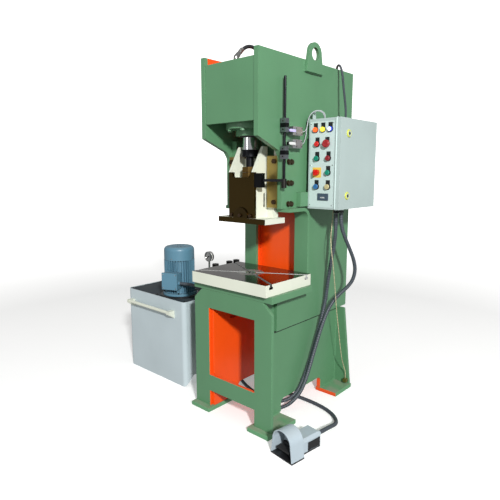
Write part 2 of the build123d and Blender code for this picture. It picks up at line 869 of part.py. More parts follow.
cheek_inner = slide_half_width - slide_cheek
cheek_front = slide_front + face_plate_thickness
with BuildPart() as slide_body:
    for cheek_start in (-slide_half_width, cheek_inner):
        with BuildSketch(Plane.YZ.offset(cheek_start)):
            with BuildLine():
                Polyline(
                    (cheek_front, slide_bottom),
                    (cheek_front, face_plate_top),
                    (slide_front, face_plate_top),
                    cheek_apex,
                    (slide_flange_front, cheek_apex[1]),
                    (slide_flange_front, slide_bottom),
                    close=True,
                )
            make_face()
        extrude(amount=slide_cheek)
    slab(
        (-slide_flange_half_width, slide_flange_front, slide_bottom),
        (slide_flange_half_width, slide_flange_back, slide_flange_top),
    )
    slab((-cheek_inner, cheek_front, web_plate_bottom), (cheek_inner, slide_flange_front, web_plate_top))
    upright(axis, web_plate_bottom, web_plate_top, stud_radius + running_clearance, Mode.SUBTRACT)
    slab(
        (-cheek_inner, ram_y + shank_split, slide_bottom),
        (cheek_inner, slide_flange_front, slide_bottom + clamp_height),
    )
    upright(axis, slide_bottom, slide_bottom + clamp_height, shank_radius, Mode.SUBTRACT)
    with BuildSketch(Plane.YZ.offset(slide_half_width)):
        with Locations((cheek_slot[0], slide_bottom + clamp_height + cheek_slot[1])):
            SlotOverall(2 * cheek_slot[1], cheek_slot[2], rotation=90)
    extrude(amount=-slide_cheek, mode=Mode.SUBTRACT)
keep("slide_body", slide_body.part)

with BuildPart() as slide_face_plate:
    with BuildSketch(Plane.XZ.offset(-cheek_front)) as face_outline:
        with Locations((0, (slide_bottom + face_plate_top) / 2)):
            Rectangle(2 * slide_half_width, face_plate_top - slide_bottom)
        with Locations((0, (face_notch_bottom + face_plate_top) / 2)):
            Rectangle(2 * face_notch_half_width, face_plate_top - face_notch_bottom, mode=Mode.SUBTRACT)
        for notch_x in (-face_notch_half_width, face_notch_half_width):
            notch_corner = face_outline.vertices().sort_by_distance((notch_x, face_notch_bottom))[0]
            fillet(notch_corner, face_notch_radius)
    extrude(amount=face_plate_thickness)
    with BuildSketch(Plane.XZ.offset(-cheek_front)):
        with Locations((0, slide_bottom + (clamp_height - clamp_half_width) / 2)):
            Rectangle(2 * (clamp_half_width + clamp_gap), clamp_height - clamp_half_width)
        with Locations((0, slide_bottom + clamp_height - clamp_half_width)):
            Circle(clamp_half_width + clamp_gap)
    extrude(amount=face_plate_thickness, mode=Mode.SUBTRACT)
keep("slide_face_plate", slide_face_plate.part)

with BuildPart() as ram_platen:
    slab(
        (-platen_half_width, platen_front, slide_bottom - platen_thickness),
        (platen_half_width, platen_rear, slide_bottom),
    )
    upright(axis, slide_bottom - platen_thickness, slide_bottom, shank_radius, Mode.SUBTRACT)
keep("ram_platen", ram_platen.part)

with BuildPart() as shank_clamp:
    with BuildSketch(Plane.XZ.offset(-(ram_y - shank_split))):
        with Locations((0, slide_bottom + clamp_height - clamp_half_width)):
            Circle(clamp_half_width)
        with Locations((0, slide_bottom - clamp_half_width)):
            Rectangle(3 * clamp_half_width, 2 * clamp_half_width, mode=Mode.SUBTRACT)
    extrude(amount=ram_y - shank_split - clamp_front)
    upright(axis, slide_bottom, slide_bottom + clamp_height, shank_radius, Mode.SUBTRACT)
keep("shank_clamp", shank_clamp.part)

# Stroke trip gear
trip_rod_place = (outer_half + trip_rod_stand, trip_rod_y)
(block_front, block_back), (block_low, block_high), block_reach = trip_block
with BuildPart() as trip_arm:
    slab((slide_half_width, block_front, block_low), (slide_half_width + block_reach, block_back, block_high))
    arm_start = (slide_half_width + block_reach - trip_arm_width, (block_front + block_back) / 2)
    arm_run = (trip_rod_place[0] - arm_start[0], trip_rod_place[1] - arm_start[1])
    arm_length = (arm_run[0] ** 2 + arm_run[1] ** 2) ** 0.5
    with BuildSketch(Plane((*arm_start, trip_arm_z), x_dir=(*arm_run, 0))):
        with Locations((arm_length / 2, 0)):
            SlotOverall(arm_length + trip_arm_width, trip_arm_width)
    extrude(amount=trip_arm_thickness / 2, both=True)
    upright(trip_rod_place, trip_rod_bottom, trip_rod_bottom + trip_clamp_height, trip_clamp_radius)
    upright(trip_rod_place, trip_rod_bottom, trip_rod_top, trip_rod_radius + running_clearance, Mode.SUBTRACT)
keep("trip_arm", trip_arm.part)

with BuildPart() as trip_rod:
    upright(trip_rod_place, trip_rod_bottom, trip_rod_top, trip_rod_radius)
keep("trip_rod", trip_rod.part)

with BuildPart() as trip_dogs:
    for dog_bottom, dog_top in dog_spans:
        slab(
            (trip_rod_place[0] - dog_size[0] / 2, trip_rod_place[1] - dog_size[1] / 2, dog_bottom),
            (trip_rod_place[0] + dog_size[0] / 2, trip_rod_place[1] + dog_size[1] / 2, dog_top),
        )
        upright(trip_rod_place, dog_bottom, dog_top, trip_rod_radius + running_clearance, Mode.SUBTRACT)
keep("trip_dogs", trip_dogs.part)

# Limit switches with their roller levers
switch_face = outer_half + switch_standoff + switch_depth
lever_pivot_y = trip_rod_y + dog_size[1] / 2 + roller_gap + roller_radius + lever_length
switch_front = lever_pivot_y - lever_pin_inset
switch_rear = switch_front + switch_length
with BuildPart() as switch_boxes:
    for centre in switch_centres:
        slab(
            (outer_half, switch_front, centre - switch_height / 2),
            (switch_face, switch_rear, centre + switch_height / 2),
        )
        with BuildSketch(Plane.YZ.offset(switch_face)):
            with Locations((lever_pivot_y, centre)):
                Circle(lever_pin_radius + running_clearance)
        extrude(amount=-lever_pin_length - lever_gap, mode=Mode.SUBTRACT)
    with BuildSketch(Plane.XZ.offset(-switch_rear)):
        with Locations(*[(outer_half + x, z) for x, z in zip(switch_gland_stands, switch_centres)]):
            Circle(switch_gland_radius)
    extrude(amount=-switch_gland_length)
    junction_rear = frame_rear - rear_plate_setback - web_thickness
    junction_x, junction_z = junction_place
    slab(
        (junction_x - junction_size, junction_rear - junction_size, junction_z - junction_size / 2),
        (junction_x, junction_rear, junction_z + junction_size / 2),
    )
    with BuildSketch(Plane.YZ.offset(junction_x)):
        with Locations((junction_gland_y, junction_z)):
            Circle(junction_gland_radius)
    extrude(amount=junction_gland_length)
keep("switch_boxes", switch_boxes.part)


def limit_lever(centre):
    """A roller lever with its pivot pin, reaching forward from its switch to the trip dogs' path."""
    with BuildPart() as lever:
        plate_start = switch_face + lever_gap
        with BuildSketch(Plane.YZ.offset(plate_start)):
            with Locations((lever_pivot_y - lever_length / 2, centre)):
                SlotOverall(lever_length + 2 * roller_radius, 2 * roller_radius - lever_waist)
        extrude(amount=lever_thickness)
        with BuildSketch(Plane.YZ.offset(plate_start)):
            with Locations((lever_pivot_y, centre)):
                Circle(lever_pin_radius)
        extrude(amount=-lever_pin_length)
        with BuildSketch(Plane.YZ.offset(plate_start)):
            with Locations((lever_pivot_y - lever_length, centre)):
                Circle(roller_radius)
        extrude(amount=-roller_width)
    return lever.part


for lever_name, lever_centre in zip(("limit_lever_upper", "limit_lever_lower"), switch_centres):
    keep(lever_name, limit_lever(lever_centre))

# Control panel
box_front_edge = panel_back + panel_box_depth
door_inner = box_front_edge + panel_door_gap
door_outer = door_inner + panel_door_depth
hinge_x = door_inner + hinge_offset[0]
hinge_y = panel_rear + hinge_offset[1]
neck_half = hinge_knuckle_radius - hinge_neck
hinge_heights = (panel_bottom + hinge_insets[0], panel_top - hinge_insets[1])
lock_y = panel_front + lock_setback
lock_heights = (panel_bottom + lock_insets[0], panel_top - lock_insets[1])

# Rows of lamps and buttons, from the lowest pair of buttons up to the lamps
lamp_row = panel_height - lamp_row_drop
row_pitch = (lamp_row - first_row) / (row_count - 1)
low_row, isolator_row, middle_row, stop_row = [first_row + row_pitch * row for row in range(row_count - 1)]
button_sites = {
    "button_red": (left_column, stop_row),
    "button_green": (left_column, middle_row),
    "button_maroon": (right_column, middle_row),
    "button_green_lower": (right_column, isolator_row),
    "button_blue": (left_column, low_row),
    "button_cream": (right_column, low_row),
}
stop_site = (stop_column, stop_row)
isolator_site = (left_column, isolator_row)


def on_panel(site):
    """A place on the panel's front face, from its distance right of the panel's back and above its foot."""
    return (panel_back + site[0], panel_bottom + site[1])


lamp_sites = [(column, lamp_row) for column in lamp_columns]
collar_sites = lamp_sites + list(button_sites.values()) + [stop_site, isolator_site]
with BuildPart() as panel_box:
    slab((panel_back, panel_front, panel_bottom), (box_front_edge, panel_rear, panel_top))
    slab(
        (panel_back + panel_wall, panel_front + panel_wall, panel_bottom + panel_wall),
        (box_front_edge, panel_rear - panel_wall, panel_top - panel_wall),
        Mode.SUBTRACT,
    )
    with BuildSketch(Plane.XZ.offset(-panel_front)):
        with Locations(*[on_panel(site) for site in collar_sites]):
            Circle(collar_shank_radius + running_clearance)
    extrude(amount=-panel_wall, mode=Mode.SUBTRACT)
    for knuckle_bottom in hinge_heights:
        knuckle_top = knuckle_bottom + hinge_knuckle_height
        for lug_bottom in (knuckle_bottom - hinge_lug_height - hinge_gap, knuckle_top + hinge_gap):
            slab(
                (box_front_edge - 4 * hinge_knuckle_radius, panel_rear, lug_bottom),
                (box_front_edge, panel_rear + hinge_offset[1], lug_bottom + hinge_lug_height),
            )
            upright((hinge_x, hinge_y), lug_bottom, lug_bottom + hinge_lug_height, hinge_knuckle_radius)
            slab(
                (box_front_edge - hinge_knuckle_radius, hinge_y - neck_half, lug_bottom),
                (hinge_x, hinge_y + neck_half, lug_bottom + hinge_lug_height),
            )
        pin_bottom = knuckle_bottom - hinge_lug_height - hinge_gap
        upright((hinge_x, hinge_y), pin_bottom, knuckle_top + hinge_gap, hinge_pin_radius)
    for (right, back), radius, length in lower_glands:
        upright((panel_back + right, panel_front + back), panel_bottom - length, panel_bottom, radius)
    for (right, back), radius, length in upper_glands:
        upright((panel_back + right, panel_front + back), panel_top, panel_top + length, radius)
keep("panel_box", panel_box.part)

with BuildPart() as panel_door:
    slab((door_inner, panel_front, panel_bottom), (door_outer, panel_rear, panel_top))
    slab(
        (door_inner, panel_front + panel_wall, panel_bottom + panel_wall),
        (door_outer - panel_wall, panel_rear - panel_wall, panel_top - panel_wall),
        Mode.SUBTRACT,
    )
    for knuckle_bottom in hinge_heights:
        knuckle_top = knuckle_bottom + hinge_knuckle_height
        upright((hinge_x, hinge_y), knuckle_bottom, knuckle_top, hinge_knuckle_radius)
        slab(
            (hinge_x, panel_rear - panel_wall, knuckle_bottom),
            (hinge_x + hinge_knuckle_radius, hinge_y, knuckle_top),
        )
        pin_hole = hinge_pin_radius + running_clearance
        upright((hinge_x, hinge_y), knuckle_bottom, knuckle_top, pin_hole, Mode.SUBTRACT)
    with BuildSketch(Plane.YZ.offset(door_outer)):
        with Locations(*[(lock_y, height) for height in lock_heights]):
            Circle(lock_barrel_radius + running_clearance)
    extrude(amount=-panel_wall, mode=Mode.SUBTRACT)
keep("panel_door", panel_door.part)


def door_lock(height):
    """A quarter-turn lock: slotted head, barrel and the cam behind the door."""
    place = (lock_y, height)
    cam_thickness, cam_width, cam_length = lock_cam
    with BuildPart() as lock:
        with BuildSketch(Plane.YZ.offset(door_outer + lever_gap)):
            with Locations(place):
                Circle(lock_head_radius)
        extrude(amount=lock_head_height)
        with BuildSketch(Plane.YZ.offset(door_outer + lever_gap)):
            with Locations(place):
                Circle(lock_barrel_radius)
        extrude(amount=-(panel_wall + 2 * lever_gap + cam_thickness))
        with BuildSketch(Plane.YZ.offset(door_outer - panel_wall - lever_gap)):
            with Locations((place[0] - cam_length / 2, place[1])):
                Rectangle(cam_length, cam_width)
        extrude(amount=-cam_thickness)
        with BuildSketch(Plane.YZ.offset(door_outer + lever_gap + lock_head_height)):
            with Locations(place):
                Rectangle(lock_head_radius, lock_slot[0])
        extrude(amount=-lock_slot[1], mode=Mode.SUBTRACT)
    return lock.part


for lock_name, lock_height in zip(("door_lock_lower", "door_lock_upper"), lock_heights):
    keep(lock_name, door_lock(lock_height))

# Collars, legend plates, isolator plate and counter on the panel's front face
legend_sites = lamp_sites + list(button_sites.values()) + [stop_site]
with BuildPart() as panel_legends:
    with BuildSketch(Plane.XZ.offset(-panel_front)):
        with Locations(*[on_panel(site) for site in collar_sites]):
            Circle(collar_radius)
    extrude(amount=collar_thickness)
    with BuildSketch(Plane.XZ.offset(-panel_front)):
        with Locations(*[on_panel(site) for site in collar_sites]):
            Circle(collar_shank_radius)
    extrude(amount=-collar_length)
    with BuildSketch(Plane.XZ.offset(-panel_front)):
        with Locations(*[on_panel((x, z + legend_rise)) for x, z in legend_sites]):
            Rectangle(*legend_size)
    extrude(amount=legend_thickness)
    with BuildSketch(Plane.XZ.offset(-panel_front)):
        with Locations(on_panel(isolator_site)):
            Rectangle(isolator_plate_size, isolator_plate_size)
    extrude(amount=legend_thickness)
    with BuildSketch(Plane.XZ.offset(-panel_front)):
        with Locations(on_panel(counter_site)):
            Rectangle(*counter_size)
    extrude(amount=counter_thickness)
    with BuildSketch(Plane.XZ.offset(-(panel_front + collar_length))):
        with Locations(*[on_panel(site) for site in collar_sites]):
            Circle(stem_radius + running_clearance)
    extrude(amount=collar_length + collar_thickness, mode=Mode.SUBTRACT)
keep("panel_legends", panel_legends.part)

collar_face = panel_front - collar_thickness


def panel_actuator(site, radius, cap, travel):
    """A round cap on a stem that slides in its collar."""
    cap_back = collar_face - travel - button_gap
    with BuildPart() as actuator:
        with BuildSketch(Plane.XZ.offset(-cap_back)):
            with Locations(on_panel(site)):
                Circle(radius)
        extrude(amount=cap)
        fillet(actuator.edges().group_by(Axis.Y)[0], cap / 3)
        with BuildSketch(Plane.XZ.offset(-cap_back)):
            with Locations(on_panel(site)):
                Circle(stem_radius)
        extrude(amount=-(stem_length + travel))
    return actuator.part


for button_name, button_site in button_sites.items():
    keep(button_name, panel_actuator(button_site, button_radius, button_cap, button_travel))
keep("emergency_stop", panel_actuator(stop_site, stop_radius, stop_cap, stop_travel))

with BuildPart() as panel_lamps:
    with BuildSketch(Plane.XZ.offset(-collar_face)):
        with Locations(*[on_panel(site) for site in lamp_sites]):
            Circle(lamp_radius)
    extrude(amount=lamp_height)
    fillet(panel_lamps.edges().group_by(Axis.Y)[0], lamp_height / 3)
    with BuildSketch(Plane.XZ.offset(-collar_face)):
        with Locations(*[on_panel(site) for site in lamp_sites]):
            Circle(stem_radius)
    extrude(amount=-stem_length)
keep("panel_lamps", panel_lamps.part)

with BuildPart() as isolator_knob:
    with BuildSketch(Plane.XZ.offset(-(collar_face - lever_gap))):
        with Locations(on_panel(isolator_site)):
            Circle(knob_radius)
    extrude(amount=knob_height)
    with BuildSketch(Plane.XZ.offset(-(collar_face - lever_gap - knob_height))):
        with Locations(on_panel(isolator_site)):
            SlotOverall(2 * knob_radius, knob_grip[0], rotation=90)
    extrude(amount=knob_grip[1])
    with BuildSketch(Plane.XZ.offset(-(collar_face - lever_gap))):
        with Locations(on_panel(isolator_site)):
            Circle(stem_radius)
    extrude(amount=-stem_length)
keep("isolator_knob", isolator_knob.part)

# Power pack
tank_left = tank_right - tank_width
tank_rear = tank_front + tank_depth
lid_top = tank_height - lid_drop
lid_bottom = lid_top - lid_thickness
def tank_block(inset, bottom, top, mode=Mode.ADD):
    """Adds an upright block that follows the tank's round-cornered plan, inset from its outside."""
    with BuildSketch(Plane.XY.offset(bottom)) as plan:
        with Locations(tank_middle):
            RectangleRounded(tank_width - 2 * inset, tank_depth - 2 * inset, tank_round - inset)
    extrude(plan.sketch, amount=top - bottom, mode=mode)


tank_middle = ((tank_left + tank_right) / 2, (tank_front + tank_rear) / 2)
with BuildPart() as tank:
    tank_block(0, 0, tank_height)
    tank_block(tank_wall, tank_floor + tank_wall, lid_bottom - tank_wall, Mode.SUBTRACT)
    tank_block(tank_wall + tank_ledge, lid_bottom - tank_wall, lid_bottom, Mode.SUBTRACT)
    tank_block(tank_wall, lid_bottom, tank_height, Mode.SUBTRACT)
    tank_block(tank_wall, 0, tank_floor, Mode.SUBTRACT)
    with BuildSketch(Plane.YZ.offset(tank_left)):
        with BuildLine():
            Polyline(
                (tank_front + tank_wall, 0),
                (tank_front + tank_skirt_run, tank_floor),
                (tank_rear - tank_skirt_run, tank_floor),
                (tank_rear - tank_wall, 0),
                close=True,
            )
        make_face()
    extrude(amount=tank_width, mode=Mode.SUBTRACT)
    handle_y = tank_front - handle_standoff
    handle_height = tank_height - handle_drop
    handle_ends = (tank_left + handle_insets[0], tank_right - handle_insets[1])
    with BuildSketch(Plane.YZ.offset(handle_ends[0])):
        with Locations((handle_y, handle_height)):
            Circle(handle_radius)
    extrude(amount=handle_ends[1] - handle_ends[0])
    for foot_x in (handle_ends[0], handle_ends[1] - handle_foot_width):
        with BuildSketch(Plane.YZ.offset(foot_x)):
            with BuildLine():
                Polyline(
                    (handle_y - handle_radius, handle_height - handle_radius),
                    (handle_y - handle_radius, handle_height + handle_radius),
                    (tank_front, handle_height + handle_radius),
                    (tank_front, handle_height - handle_foot_drop),
                    close=True,
                )
            make_face()
        extrude(amount=handle_foot_width)
keep("tank", tank.part)

motor_place = (tank_right - motor_inset[0], tank_front + motor_inset[1])
pump_width, pump_height = pump_size
pump_bottom = lid_bottom - pump_drop - pump_height
shaft_hole = shaft_radius + running_clearance
with BuildPart() as tank_lid:
    tank_block(tank_wall + lid_gap, lid_bottom, lid_top)
    upright(motor_place, pump_bottom, lid_bottom, pump_width / 2)
    upright(motor_place, pump_bottom, lid_top, shaft_hole, Mode.SUBTRACT)
keep("tank_lid", tank_lid.part)

motor_flange_top = lid_top + motor_flange_thickness
motor_body_top = motor_flange_top + motor_body_height
terminal_box_bottom = motor_flange_top + terminal_box_rise
with BuildPart() as motor_body:
    upright(motor_place, lid_top, motor_flange_top, motor_flange_radius)
    upright(motor_place, motor_flange_top, motor_body_top, motor_core_radius)
    with BuildSketch(Plane((*motor_place, motor_flange_top))):
        with PolarLocations((motor_core_radius - motor_fin_root + motor_fin_radius) / 2, motor_fin_count):
            Rectangle(motor_fin_radius - motor_core_radius + motor_fin_root, motor_fin_thickness)
    extrude(amount=motor_body_top - cowl_overlap - motor_flange_top)
    box_width, box_reach, box_height = terminal_box
    box_front = -motor_core_radius - box_reach
    box_plane = Plane((*motor_place, terminal_box_bottom)).rotated((0, 0, terminal_box_turn))
    with BuildSketch(box_plane):
        with Locations((0, box_front + (box_reach + terminal_box_root) / 2)):
            Rectangle(box_width, box_reach + terminal_box_root)
    extrude(amount=box_height)
    gland_back, gland_rise = terminal_gland
    gland_root = box_plane.from_local_coords((box_width / 2, box_front + gland_back, gland_rise))
    with BuildSketch(Plane(gland_root, z_dir=box_plane.x_dir)):
        Circle(terminal_gland_radius)
    extrude(amount=terminal_gland_length)
    upright(
        motor_place,
        motor_flange_top + motor_wall,
        motor_body_top - motor_wall,
        motor_core_radius - motor_wall,
        Mode.SUBTRACT,
    )
    upright(motor_place, lid_top, motor_body_top, shaft_hole, Mode.SUBTRACT)
keep("motor_body", motor_body.part)

cowl_top = motor_body_top + cowl_height
with BuildPart() as fan_cowl:
    upright(motor_place, motor_body_top - cowl_overlap, cowl_top, cowl_radius)
    fillet(fan_cowl.edges().group_by(Axis.Z)[-1], cowl_round)
    offset(amount=-cowl_wall, openings=fan_cowl.faces().sort_by(Axis.Z)[0])
    with BuildSketch(Plane((*motor_place, cowl_top))):
        with PolarLocations(cowl_slot_circle, cowl_slot_count):
            SlotOverall(*cowl_slot)
    extrude(amount=-cowl_wall, mode=Mode.SUBTRACT)
keep("fan_cowl", fan_cowl.part)

with BuildPart() as motor_rotor:
    fan_bottom, fan_top = [motor_body_top + rise for rise in fan_span]
    rotor_bottom, rotor_top = [motor_flange_top + rise for rise in rotor_span]
    upright(motor_place, lid_top - shaft_drop, fan_top, shaft_radius)
    upright(motor_place, rotor_bottom, rotor_top, rotor_radius)
    upright(motor_place, fan_bottom, fan_bottom + fan_plate, fan_radius)
    with BuildSketch(Plane((*motor_place, fan_bottom))):
        with PolarLocations((fan_blade_tip + fan_blade_root) / 2, fan_blade_count):
            Rectangle(fan_blade_tip - fan_blade_root, fan_blade_thickness)
    extrude(amount=fan_top - fan_bottom)
keep("motor_rotor", motor_rotor.part)

manifold_top = lid_top + manifold_height
manifold_right = tank_right - manifold_inset
manifold_middle_x = manifold_right - manifold_width / 2
manifold_front = tank_front + manifold_start
gauge_y = manifold_front + gauge_setback
gauge_height = manifold_top + gauge_rise
gauge_face = gauge_y - gauge_depth / 2
with BuildPart() as valve_manifold:
    slab(
        (manifold_right - manifold_width, manifold_front, lid_top),
        (manifold_right, manifold_front + manifold_length, manifold_top),
    )
    for setback in valve_cap_setbacks:
        cap_place = (manifold_middle_x, manifold_front + setback)
        upright(cap_place, manifold_top, manifold_top + valve_cap_height, valve_cap_radius)
    with BuildSketch(Plane.YZ.offset(manifold_right)):
        with Locations(*[(manifold_front + back, lid_top + rise) for back, rise in manifold_ports]):
            Circle(fitting_radius)
    extrude(amount=manifold_fitting_length)
    upright((manifold_middle_x, gauge_y), manifold_top, gauge_height, gauge_stem_radius)
    with BuildSketch(Plane.XZ.offset(-gauge_face)):
        with Locations((manifold_middle_x, gauge_height)):
            Circle(gauge_radius)
    extrude(amount=-gauge_depth)
    with BuildSketch(Plane.XZ.offset(-gauge_face)):
        with Locations((manifold_middle_x, gauge_height)):
            Circle(gauge_radius - gauge_rim)
    extrude(amount=-gauge_recess, mode=Mode.SUBTRACT)
    with BuildSketch(Plane.XZ.offset(-(gauge_face + gauge_recess))):
        with Locations((manifold_middle_x, gauge_height)):
            Circle(needle_pin_radius + running_clearance)
    extrude(amount=-needle_pin_length, mode=Mode.SUBTRACT)
keep("valve_manifold", valve_manifold.part)

needle_face = gauge_face + gauge_recess - needle_stand
with BuildPart() as gauge_needle:
    with BuildSketch(Plane.XZ.offset(-needle_face)):
        with Locations(Location((manifold_middle_x, gauge_height, 0), (0, 0, needle_rest))):
            Circle(2 * needle_pin_radius)
            with Locations((0, needle_length / 2)):
                Rectangle(needle_width, needle_length)
    extrude(amount=needle_thickness)
    with BuildSketch(Plane.XZ.offset(-needle_face)):
        with Locations((manifold_middle_x, gauge_height)):
            Circle(needle_pin_radius)
    extrude(amount=-needle_pin_length)
keep("gauge_needle", gauge_needle.part)

# Foot pedal, in its own turned plane: x across, y to the rear
pedal_plane = Plane((*pedal_place, 0), x_dir=(cos(radians(pedal_turn)), sin(radians(pedal_turn)), 0))


def pedal_upright(distance):
    """The pedal's upright plane that faces its front, at a distance behind the hood's front edge."""
    origin = pedal_plane.from_local_coords((0, distance, 0))
    return Plane(origin, x_dir=pedal_plane.x_dir, z_dir=-pedal_plane.y_dir)


def pedal_side(distance):
    """The pedal's upright plane that faces its right, at a distance right of its middle."""
    origin = pedal_plane.from_local_coords((distance, 0, 0))
    return Plane(origin, x_dir=pedal_plane.y_dir, z_dir=pedal_plane.x_dir)


def hood_outline(inset):
    """Adds the hood's arch, drawn in by an inset, to the sketch in hand."""
    radius = hood_radius - inset
    Polygon(
        (inset - hood_half_width, pedal_base_thickness),
        (hood_half_width - inset, pedal_base_thickness),
        (radius, hood_centre),
        (-radius, hood_centre),
        align=None,
    )
    with Locations((0, hood_centre)):
        Circle(radius)


pivot_y, pivot_z = treadle_pivot
cheek_inside = treadle_half_width + pedal_cheek_gap
(panel_rear_start, panel_rear_end), (panel_low, panel_high), panel_proud = side_panel
with BuildPart() as pedal_base:
    with BuildSketch(pedal_plane):
        with Locations((0, hood_depth / 2)):
            Rectangle(2 * hood_half_width, hood_depth)
        with Locations((0, pedal_length / 2)):
            Rectangle(2 * body_half_width, pedal_length)
    extrude(amount=pedal_base_thickness)
    for cheek_start in (cheek_inside, -cheek_inside - pedal_cheek_thickness):
        with BuildSketch(pedal_side(cheek_start)):
            with Locations((pivot_y, (pedal_base_thickness + pivot_z) / 2)):
                Rectangle(2 * treadle_boss_radius, pivot_z - pedal_base_thickness)
            with Locations((pivot_y, pivot_z)):
                Circle(treadle_boss_radius)
                Circle(treadle_pin_radius + running_clearance, mode=Mode.SUBTRACT)
        extrude(amount=pedal_cheek_thickness)
    with BuildSketch(pedal_side(body_half_width)):
        with Locations(((panel_rear_start + panel_rear_end) / 2, (panel_low + panel_high) / 2)):
            Rectangle(panel_rear_end - panel_rear_start, panel_high - panel_low)
    extrude(amount=panel_proud)
keep("pedal_base", pedal_base.part)

with BuildPart() as pedal_housing:
    with BuildSketch(pedal_upright(0)):
        hood_outline(0)
    extrude(amount=-hood_depth)
    with BuildSketch(pedal_upright(body_front)) as body_outline:
        with Locations((0, (pedal_base_thickness + body_height) / 2)):
            Rectangle(2 * body_half_width, body_height - pedal_base_thickness)
        chamfer(body_outline.vertices().group_by(Axis.Y)[-1], body_chamfer)
    extrude(amount=body_front - pedal_length)
    with BuildSketch(pedal_upright(0)):
        hood_outline(hood_wall)
    extrude(amount=hood_wall - hood_depth, mode=Mode.SUBTRACT)
    with BuildSketch(pedal_upright(hood_depth)):
        with Locations((0, (pedal_base_thickness + body_height - body_wall) / 2)):
            Rectangle(2 * (body_half_width - body_chamfer), body_height - body_wall - pedal_base_thickness)
    extrude(amount=hood_depth + body_wall - pedal_length, mode=Mode.SUBTRACT)
    with BuildSketch(pedal_upright(pedal_length)):
        with Locations(pedal_gland):
            Circle(pedal_gland_radius)
    extrude(amount=-pedal_gland_length)
keep("pedal_housing", pedal_housing.part)

with BuildPart() as pedal_treadle:
    with BuildSketch(pedal_side(-treadle_half_width)):
        with Locations(((treadle_front + pivot_y) / 2, pivot_z)):
            Rectangle(pivot_y - treadle_front, treadle_thickness)
        with Locations((pivot_y, pivot_z)):
            Circle(treadle_boss_radius)
    extrude(amount=2 * treadle_half_width)
    pin_half_length = cheek_inside + pedal_cheek_thickness
    with BuildSketch(pedal_side(-pin_half_length)):
        with Locations((pivot_y, pivot_z)):
            Circle(treadle_pin_radius)
    extrude(amount=2 * pin_half_length)
keep("pedal_treadle", pedal_treadle.part)

# The machine's middle in plan becomes the origin, with the floor at Z = 0
corners = [piece.bounding_box() for piece in pieces.values()]
middle_x = (min(box.min.X for box in corners) + max(box.max.X for box in corners)) / 2
middle_y = (min(box.min.Y for box in corners) + max(box.max.Y for box in corners)) / 2
to_origin = Location((-middle_x, -middle_y, 0))
print("origin in the machine's own measures:", round(middle_x, 3), round(middle_y, 3))


def cord(name, diameter, route):
    """A round cord along straight runs joined by tangent arcs, each as large as its two runs allow."""
    points = [Vector(*point) for point in route]
    runs = [after - before for before, after in zip(points, points[1:])]
    radii = [
        arc_share * min(before.length, after.length) / tan(radians(before.get_angle(after)) / 2)
        for before, after in zip(runs, runs[1:])
    ]
    with BuildPart() as tube:
        with BuildLine() as path:
            FilletPolyline(*points, radius=radii)
        with BuildSketch(Plane(path.line @ 0, z_dir=path.line % 0)):
            Circle(diameter / 2)
        sweep()
    length = sum(edge.length for edge in path.edges())
    share = tube.part.volume / (length * pi * diameter**2 / 4)
    print(name, "length", round(length), "tightest radius", round(min(radii)), "share", round(share, 4))
    return tube.part


def cord_pair(name, diameter, routes):
    """Two like cords in one node."""
    with BuildPart() as pair:
        for route in routes:
            add(cord(name, diameter, route))
    return pair.part


motor_cable_end = [
    tuple(gland_root + box_plane.x_dir * (terminal_gland_length + reach)) for reach in (motor_cable_lead, 0)
]
keep("motor_cable", cord("motor_cable", motor_cable_diameter, (*motor_cable_route, *motor_cable_end)))
gland_x, gland_z = pedal_gland
pedal_cable_end = [
    tuple(pedal_plane.from_local_coords((gland_x, pedal_length + pedal_gland_length + reach, gland_z)))
    for reach in (pedal_cable_lead, 0)
]
keep("pedal_cable", cord("pedal_cable", pedal_cable_diameter, (*pedal_cable_route, *pedal_cable_end)))
keep("head_conduit", cord("head_conduit", head_conduit_diameter, head_conduit_route))
keep("earth_wire", cord("earth_wire", earth_wire_diameter, earth_wire_route))
switch_routes = (upper_switch_route, lower_switch_route)
keep("switch_cables", cord_pair("switch_cables", switch_cable_diameter, switch_routes))
cap_hose_start = [
    tuple(Vector(*elbow_base) + Vector(0, 1, 1).normalized() * reach)
    for reach in (cap_fitting_elbow, cap_fitting_elbow + cap_hose_lead)
]
cap_hose = (*cap_hose_start, *cap_hose_route)
keep("hydraulic_hoses", cord_pair("hydraulic_hoses", hose_diameter, (cap_hose, side_hose_route)))

os.makedirs("parts", exist_ok=True)
for name, piece in pieces.items():
    placed = piece.moved(to_origin)
    placed.label = name
    export_step(placed, f"parts/{name}.step")
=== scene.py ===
"""The finish of a C-frame hydraulic press: paint, bare metal, plastics, cords and small fittings.

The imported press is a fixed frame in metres. Hard pieces are shown as copies with eased edges, painted face by
face, and the small fittings that a maker adds last are modelled here.
"""

import functools
import json
import math

import bmesh
import bpy
from bpy.props import FloatProperty, FloatVectorProperty, PointerProperty
from mathutils import Matrix, Vector

